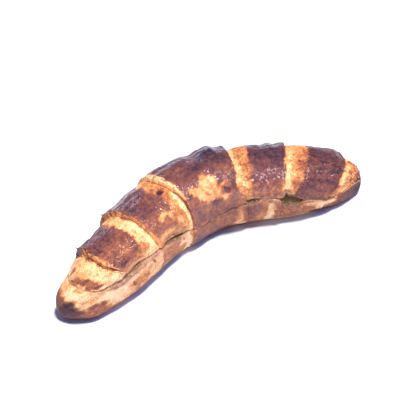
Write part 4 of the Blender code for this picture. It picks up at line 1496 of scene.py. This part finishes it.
def gather(name, meshes, material):
    """One piece of all the chips in several meshes, kept inside the roll's box."""
    whole = bmesh.new()
    for mesh in meshes:
        whole.from_mesh(mesh)
        bpy.data.meshes.remove(mesh)
    for vertex in whole.verts:
        vertex.co = [min(max(v, low), high) for v, low, high in zip(vertex.co, *CAD_BOX)]
    joined = bpy.data.meshes.new(name)
    whole.to_mesh(joined)
    whole.free()
    joined.shade_smooth()
    joined.materials.append(material)
    piece = bpy.data.objects.new(name, joined)
    bpy.context.scene.collection.objects.link(piece)
    return piece


def torn_flakes(material):
    """The flakes that stand along the wraps' torn edges."""
    tree = scatter_tree("curled_flakes", CHIP_SIZES, curled_chip)
    meshes = []
    for number, (wrap, shares, angles, amount, longest, lean, bakes) in enumerate(FLAKY_EDGES):
        strip = edge_ribbon("flaky_edge_%d" % number, wrap, shares, angles, bakes)
        meshes.append(shed(strip, tree, {
            "Chips per square metre": amount * PER_SQUARE_CM,
            "Longest": longest * MM,
            "Thickness": FLAKE_THICKNESS_MM * MM,
            "Lean": math.radians(lean),
            "Raggedness": FLAKE_RAGGED_MM * MM,
            "Seed": FLAKES_FIRST_SEED + number,
            "Crust": material,
        }))
    return gather("torn_flakes", meshes, material)


def slit_crumbs(material):
    """The crumbs that lie on the base's torn lip."""
    tree = scatter_tree("loose_crumbs", CHIP_SIZES, round_crumb)
    meshes = []
    for number, (span, reach_mm, amount, widest) in enumerate(CRUMBLY_SLIT):
        strip = slit_ribbon("crumbly_slit_%d" % number, span, reach_mm)
        meshes.append(shed(strip, tree, {
            "Chips per square metre": amount * PER_SQUARE_CM,
            "Longest": widest * MM,
            "Lean": math.pi,
            "Raggedness": CRUMB_RAGGED_MM * MM,
            "Seed": CRUMBS_FIRST_SEED + number,
            "Crust": material,
        }))
    return gather("slit_crumbs", meshes, material)


# Materials

def linear(hex_colour):
    """A linear colour from its sRGB hex value."""
    parts = [int(hex_colour[i:i + 2], 16) / 255.0 for i in (1, 3, 5)]
    return [p / 12.92 if p <= 0.04045 else ((p + 0.055) / 1.055) ** 2.4 for p in parts] + [1.0]


def per_metre(size_mm):
    """A pattern's scale from the distance between its spots."""
    return 1.0 / (size_mm * MM)


def add_node(tree, kind, settings=None, inputs=None):
    """Adds a node with its settings, and sets or links its inputs by name or number."""
    node = tree.nodes.new(kind)
    for name, value in (settings or {}).items():
        setattr(node, name, value)
    for name, value in (inputs or {}).items():
        socket = node.inputs[name]
        if isinstance(value, bpy.types.NodeSocket):
            tree.links.new(value, socket)
        else:
            socket.default_value = value
    return node


def set_ramp(node, stops):
    """Gives a colour ramp its stops."""
    ramp = node.color_ramp
    while len(ramp.elements) > 1:
        ramp.elements.remove(ramp.elements[0])
    ramp.elements[0].position = stops[0][0]
    ramp.elements[0].color = linear(stops[0][1])
    for position, colour in stops[1:]:
        ramp.elements.new(position).color = linear(colour)


def new_material(name):
    """A material without nodes yet, and its tree."""
    material = bpy.data.materials.new(name)
    material.use_nodes = True
    tree = material.node_tree
    tree.nodes.clear()
    return material, tree


# from pale dough to nearly burnt crust
BAKE_STOPS = (
    (0.00, "#ebc899"),
    (0.10, "#deb282"),
    (0.20, "#d09863"),
    (0.32, "#b97a49"),
    (0.44, "#99603e"),
    (0.57, "#7d4b39"),
    (0.70, "#663b33"),
    (0.84, "#4b2b2c"),
    (1.00, "#2a161c"),
)
CRUMB_STOPS = ((0.3, "#7c5c46"), (0.5, "#a37d63"), (0.7, "#c5a184"))
# painted shade: the slit's cut face darkens to this colour further in, and to the next where the lid
# shades it most
HALF_SHADE_CRUMB = "#6f503a"
SHADED_CRUMB = "#5f4c38"
# painted light: the colour of a faint glow given to the slit's darkest inside, which is no lamp
PAINTED_GLOW_TONE = "#58462d"
# the crust's patterns: mm from one spot to the next
MOTTLE_MM = 2.381
BROWN_SPECK_MM = 1.111
CREAM_FLECK_MM = 0.9091
GRAIN_MM = 0.7407
PUDDLE_MM = 1.6129
WRINKLE_MM = 0.5263
PORE_MM = 1.111
RIPPLE_MM = 1.316
DRIED_SCALE_MM = 1.0526
BOARD_GRAIN_MM = 2.5
# dried egg wash has about 1.5; a higher value makes its small glints as bright as real ones
WASH_IOR = 2.2
# a Mix node's colour sockets by number, because each kind of value has one of that name
MIX_A, MIX_B, MIX_RESULT = 6, 7, 2


def uneven_bake(tree, where, bake, shine, mottle):
    """The bake with mottling, grain, brown specks and cream flecks."""
    grain = add_node(tree, "ShaderNodeTexNoise", None, {
        "Vector": where,
        "Scale": per_metre(GRAIN_MM),
        "Detail": 3.0,
        "Roughness": 0.75,
    })
    # the wash smooths the browned bands, so their grain is fainter than the dry crust's
    grainy = add_node(tree, "ShaderNodeMapRange", None, {"Value": shine, "To Min": 0.65, "To Max": 0.25})
    # the palest dough is the most even
    even = add_node(tree, "ShaderNodeMapRange", None, {
        "Value": bake,
        "From Max": 0.30,
        "To Min": 0.35,
        "To Max": 1.0,
    })
    level = bake
    for source, strength in ((mottle, 0.5), (grain, grainy.outputs[0])):
        step = add_node(tree, "ShaderNodeMath", {"operation": "SUBTRACT"}, {
            0: source.outputs["Fac"],
            1: 0.5,
        })
        step = add_node(tree, "ShaderNodeMath", {"operation": "MULTIPLY"}, {
            0: step.outputs[0],
            1: even.outputs[0],
        })
        step = add_node(tree, "ShaderNodeMath", {"operation": "MULTIPLY_ADD"}, {
            0: step.outputs[0],
            1: strength,
            2: level,
        })
        level = step.outputs[0]
    dry = add_node(tree, "ShaderNodeMapRange", None, {"Value": shine, "To Min": 1.0, "To Max": 0.45})
    # a fourth coordinate sets the cream flecks apart from the brown specks
    specks = ("3D", {}, BROWN_SPECK_MM, 0.13)
    cream_flecks = ("4D", {"W": 3.0}, CREAM_FLECK_MM, -0.10)
    for kind, apart, size_mm, strongest in (specks, cream_flecks):
        spots = add_node(tree, "ShaderNodeTexNoise", {"noise_dimensions": kind}, {
            **apart,
            "Vector": where,
            "Scale": per_metre(size_mm),
            "Detail": 2.0,
            "Roughness": 0.5,
        })
        flecks = add_node(tree, "ShaderNodeMapRange", {"interpolation_type": "SMOOTHSTEP"}, {
            "Value": spots.outputs["Fac"],
            "From Min": 0.53,
            "From Max": 0.66,
            "To Min": 0.0,
            "To Max": strongest,
        })
        flecked = add_node(tree, "ShaderNodeMath", {"operation": "MULTIPLY_ADD"}, {
            0: flecks.outputs[0],
            1: dry.outputs[0],
            2: level,
        })
        level = flecked.outputs[0]
    return add_node(tree, "ShaderNodeClamp", None, {"Value": level}).outputs[0]


def dough_colour(tree, level, crumb, mottle):
    """The crust's colour, that of the torn crumb and of the slit's painted shade, and a painted glow
    there.
    """
    crust_tone = add_node(tree, "ShaderNodeValToRGB", None, {"Fac": level})
    set_ramp(crust_tone, BAKE_STOPS)
    crumb_tone = add_node(tree, "ShaderNodeValToRGB", None, {"Fac": mottle.outputs["Fac"]})
    set_ramp(crumb_tone, CRUMB_STOPS)
    colour = add_node(tree, "ShaderNodeMix", {"data_type": "RGBA"}, {
        0: crumb,
        MIX_A: crust_tone.outputs["Color"],
        MIX_B: crumb_tone.outputs["Color"],
    })
    # the slit's inside is painted olive brown as shade, darker further in, and where it is
    # darkest it is given a faint painted glow, which is no lamp
    painted_glow = 0.0
    for least, tone, light in ((1.0, HALF_SHADE_CRUMB, 0.06), (2.0, SHADED_CRUMB, 0.55)):
        deep = add_node(tree, "ShaderNodeMath", {"operation": "SUBTRACT", "use_clamp": True}, {
            0: crumb,
            1: least,
        })
        colour = add_node(tree, "ShaderNodeMix", {"data_type": "RGBA"}, {
            0: deep.outputs[0],
            MIX_A: colour.outputs[MIX_RESULT],
            MIX_B: linear(tone),
        })
        lit = add_node(tree, "ShaderNodeMath", {"operation": "MULTIPLY_ADD"}, {
            0: deep.outputs[0],
            1: light,
            2: painted_glow,
        })
        painted_glow = lit.outputs[0]
    return colour.outputs[MIX_RESULT], painted_glow


def wash_gloss(tree, level, shine, puddle):
    """How rough the crust is and how much glaze lies on it: browned crust is the glossiest."""
    browned = add_node(tree, "ShaderNodeMapRange", None, {
        "Value": level,
        "From Min": 0.25,
        "From Max": 0.65,
        "To Min": 0.62,
        "To Max": 0.30,
    })
    uneven = add_node(tree, "ShaderNodeMath", {"operation": "MULTIPLY_ADD"}, {
        0: puddle.outputs["Fac"],
        1: 0.30,
        2: browned.outputs[0],
    })
    smoother = add_node(tree, "ShaderNodeMath", {"operation": "SUBTRACT", "use_clamp": True}, {
        0: uneven.outputs[0],
        1: 0.13,
    })
    dull = add_node(tree, "ShaderNodeMapRange", None, {"Value": shine, "To Min": 0.26, "To Max": 0.0})
    roughness = add_node(tree, "ShaderNodeMath", {"operation": "ADD", "use_clamp": True}, {
        0: smoother.outputs[0],
        1: dull.outputs[0],
    })
    glaze = add_node(tree, "ShaderNodeMapRange", None, {
        "Value": level,
        "From Min": 0.30,
        "From Max": 0.60,
        "To Min": 0.0,
        "To Max": 0.8,
    })
    coat = add_node(tree, "ShaderNodeMath", {"operation": "MULTIPLY"}, {0: glaze.outputs[0], 1: shine})
    return roughness.outputs[0], coat.outputs[0]


def wrinkled_pores(tree, where):
    """Fine wrinkles of the dried wash over the pores of the dough."""
    wrinkle = add_node(tree, "ShaderNodeTexNoise", None, {
        "Vector": where,
        "Scale": per_metre(WRINKLE_MM),
        "Detail": 3.0,
        "Roughness": 0.6,
    })
    pore = add_node(tree, "ShaderNodeTexVoronoi", {"feature": "SMOOTH_F1"}, {
        "Vector": where,
        "Scale": per_metre(PORE_MM),
    })
    height = add_node(tree, "ShaderNodeMath", {"operation": "MULTIPLY_ADD"}, {
        0: pore.outputs["Distance"],
        1: 0.6,
        2: wrinkle.outputs["Fac"],
    })
    return add_node(tree, "ShaderNodeBump", None, {
        "Strength": 0.8,
        "Distance": 0.3 * MM,
        "Height": height.outputs[0],
    }).outputs["Normal"]


def dried_scales(tree, where, puddle):
    """The glaze ripples, and has dried in flat scales, each tilted its own way to the light."""
    ripple = add_node(tree, "ShaderNodeTexNoise", None, {
        "Vector": where,
        "Scale": per_metre(RIPPLE_MM),
        "Detail": 1.0,
    })
    rippled = add_node(tree, "ShaderNodeBump", None, {
        "Strength": 1.0,
        "Distance": 0.2 * MM,
        "Height": ripple.outputs["Fac"],
    })
    # the scales' outlines wander with the puddles
    wandering = add_node(tree, "ShaderNodeVectorMath", {"operation": "MULTIPLY_ADD"}, {
        0: puddle.outputs["Color"],
        1: (1.6 * MM, 1.6 * MM, 1.6 * MM),
        2: where,
    })
    scale = add_node(tree, "ShaderNodeTexVoronoi", {"feature": "F1"}, {
        "Vector": wandering.outputs[0],
        "Scale": per_metre(DRIED_SCALE_MM),
    })
    tilt = add_node(tree, "ShaderNodeVectorMath", {"operation": "SUBTRACT"}, {
        0: scale.outputs["Color"],
        1: (0.5, 0.5, 0.5),
    })
    tilted = add_node(tree, "ShaderNodeVectorMath", {"operation": "MULTIPLY_ADD"}, {
        0: tilt.outputs[0],
        1: (0.34, 0.34, 0.34),
        2: rippled.outputs["Normal"],
    })
    return add_node(tree, "ShaderNodeVectorMath", {"operation": "NORMALIZE"}, {
        0: tilted.outputs[0],
    }).outputs[0]


def egg_washed_crust():
    """Baked laminated dough brushed with egg: a dry pale crust whose browned bands shine."""
    material, tree = new_material("egg_washed_crust")
    where = add_node(tree, "ShaderNodeTexCoord").outputs["Object"]
    bake, shine, crumb = (
        add_node(tree, "ShaderNodeAttribute", {"attribute_name": label}).outputs["Fac"]
        for label in ("bake", "band", "crumb")
    )
    mottle, puddle = (
        add_node(tree, "ShaderNodeTexNoise", None, {
            "Vector": where,
            "Scale": per_metre(size_mm),
            "Detail": 3.0,
            "Roughness": 0.6,
        })
        for size_mm in (MOTTLE_MM, PUDDLE_MM)
    )
    level = uneven_bake(tree, where, bake, shine, mottle)
    colour, painted_glow = dough_colour(tree, level, crumb, mottle)
    roughness, coat = wash_gloss(tree, level, shine, puddle)
    shader = add_node(tree, "ShaderNodeBsdfPrincipled", None, {
        "Base Color": colour,
        "Emission Color": linear(PAINTED_GLOW_TONE),
        # the emission is a painted glow inside the slit's shade, not a lamp
        "Emission Strength": painted_glow,
        "Roughness": roughness,
        "IOR": 1.45,
        "Specular IOR Level": 0.5,
        "Normal": wrinkled_pores(tree, where),
        "Coat Weight": coat,
        "Coat Roughness": 0.08,
        "Coat IOR": WASH_IOR,
        "Coat Normal": dried_scales(tree, where, puddle),
    })
    add_node(tree, "ShaderNodeOutputMaterial", None, {"Surface": shader.outputs["BSDF"]})
    return material


def matt_board():
    """White painted board: a matt sweep that only carries the shadow."""
    material, tree = new_material("matt_white_board")
    where = add_node(tree, "ShaderNodeTexCoord").outputs["Object"]
    grain = add_node(tree, "ShaderNodeTexNoise", None, {
        "Vector": where,
        "Scale": per_metre(BOARD_GRAIN_MM),
        "Detail": 2.0,
    })
    bump = add_node(tree, "ShaderNodeBump", None, {
        "Strength": 0.03,
        "Distance": 0.2 * MM,
        "Height": grain.outputs["Fac"],
    })
    shader = add_node(tree, "ShaderNodeBsdfPrincipled", None, {
        "Base Color": linear("#d6ddf0"),
        "Roughness": 0.8,
        "Normal": bump.outputs["Normal"],
    })
    add_node(tree, "ShaderNodeOutputMaterial", None, {"Surface": shader.outputs["BSDF"]})
    return material


# Studio

# the photograph's angle, about 41 degrees above the board
CAMERA_AT_MM = (-272.3, -509.1, 530.9)
CAMERA_AIM_MM = (3.8, 4.7, 17.5)
CAMERA_ROLL = -3.57
LENS_MM = 120.0
SENSOR_MM = 36.0
BOARD_REACH_MM = 3000.0
BOARD_BELOW_MM = 0.2
ROOM_TONE = "#a9bcff"
ROOM_LIGHT = 0.30
# far softboxes: azimuth from +X, elevation and spread in degrees, strength, colour, and
# whether the glaze mirrors them
BOARD_LAMPS = {
    "board_key": (-14.0, 77.0, 11.0, 5.9, "#fff4e8", False),
    "low_side_window": (-16.0, 40.0, 22.0, 0.95, "#a8b8f0", False),
}
CROISSANT_LAMPS = {
    "soft_key": (-26.0, 78.0, 17.0, 5.8, "#fcf4ea", False),
    "front_fill": (-100.0, 7.0, 40.0, 2.35, "#dedcff", False),
    "small_window_near": (-80.0, 57.0, 6.5, 0.46, "#ffdfe2", True),
    "small_window_left": (-142.0, 64.0, 6.5, 0.42, "#ffe6ea", True),
    "small_window_right": (-28.0, 54.0, 6.5, 0.40, "#ffe6ea", True),
    "cool_rim": (84.0, 18.0, 26.0, 0.36, "#cfdcff", True),
}


def aim(thing, target, roll=0.0):
    """Turns a lamp or the camera to face the target, rolled by some degrees."""
    turn = (Vector(target) - thing.location).to_track_quat("-Z", "Y").to_matrix()
    thing.rotation_euler = (turn @ Matrix.Rotation(math.radians(roll), 3, "Z")).to_euler()


def add_sun(name, azimuth, elevation, spread, power, colour, mirrored):
    """A far softbox, shining on the middle of the board."""
    lamp = bpy.data.lights.new(name, "SUN")
    lamp.angle = math.radians(spread)
    lamp.energy = power
    lamp.color = linear(colour)[:3]
    thing = bpy.data.objects.new(name, lamp)
    around, up = math.radians(azimuth), math.radians(elevation)
    flat = math.cos(up)
    thing.location = (flat * math.cos(around), flat * math.sin(around), math.sin(up))
    thing.visible_glossy = mirrored
    bpy.context.scene.collection.objects.link(thing)
    aim(thing, (0.0, 0.0, 0.0))
    return thing


def light_with(lamps, board, name, board_state):
    """Adds lamps that reach only the board, or are flagged off it as black cards do."""
    linked = bpy.data.collections.new(name)
    linked.objects.link(board)
    linked.collection_objects[0].light_linking.link_state = board_state
    for lamp_name, values in lamps.items():
        add_sun(lamp_name, *values).light_linking.receiver_collection = linked


def studio():
    """A pale board, soft light and the photograph's camera."""
    scene = bpy.context.scene
    camera_data = bpy.data.cameras.new("camera")
    camera_data.lens = LENS_MM
    camera_data.sensor_width = SENSOR_MM
    camera = bpy.data.objects.new("camera", camera_data)
    camera.location = [v * MM for v in CAMERA_AT_MM]
    scene.collection.objects.link(camera)
    aim(camera, [v * MM for v in CAMERA_AIM_MM], CAMERA_ROLL)
    scene.camera = camera
    reach, level = BOARD_REACH_MM * MM, -BOARD_BELOW_MM * MM
    corners = [(x * reach, y * reach, level) for x, y in ((-1, -1), (1, -1), (1, 1), (-1, 1))]
    mesh = bpy.data.meshes.new("board")
    mesh.from_pydata(corners, [], [(0, 1, 2, 3)])
    board = bpy.data.objects.new("board", mesh)
    board.data.materials.append(matt_board())
    scene.collection.objects.link(board)
    # the board has its own key, so its shadow's shape doesn't depend on the crust's light
    light_with(BOARD_LAMPS, board, "reached_board", "INCLUDE")
    light_with(CROISSANT_LAMPS, board, "flagged_board", "EXCLUDE")
    world = bpy.data.worlds.new("pale_room")
    world.use_nodes = True
    background = world.node_tree.nodes["Background"]
    background.inputs["Color"].default_value = linear(ROOM_TONE)
    background.inputs["Strength"].default_value = ROOM_LIGHT
    scene.world = world
    scene.view_settings.view_transform = "Standard"
    scene.view_settings.look = "None"
    scene.view_settings.exposure = 0.0


crust = egg_washed_crust()
lid = loft("lid_crust", lid_rings(), crust)
base = loft("base_crust", base_rings(), crust)
for piece, node, slot in ((lid, "croissant_lid", "baked_crust"), (base, "croissant_base", "pale_crust")):
    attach(piece, "root")
    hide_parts(node)
for piece, slot in ((torn_flakes(crust), "baked_crust"), (slit_crumbs(crust), "pale_crust")):
    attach(piece, "root")
studio()
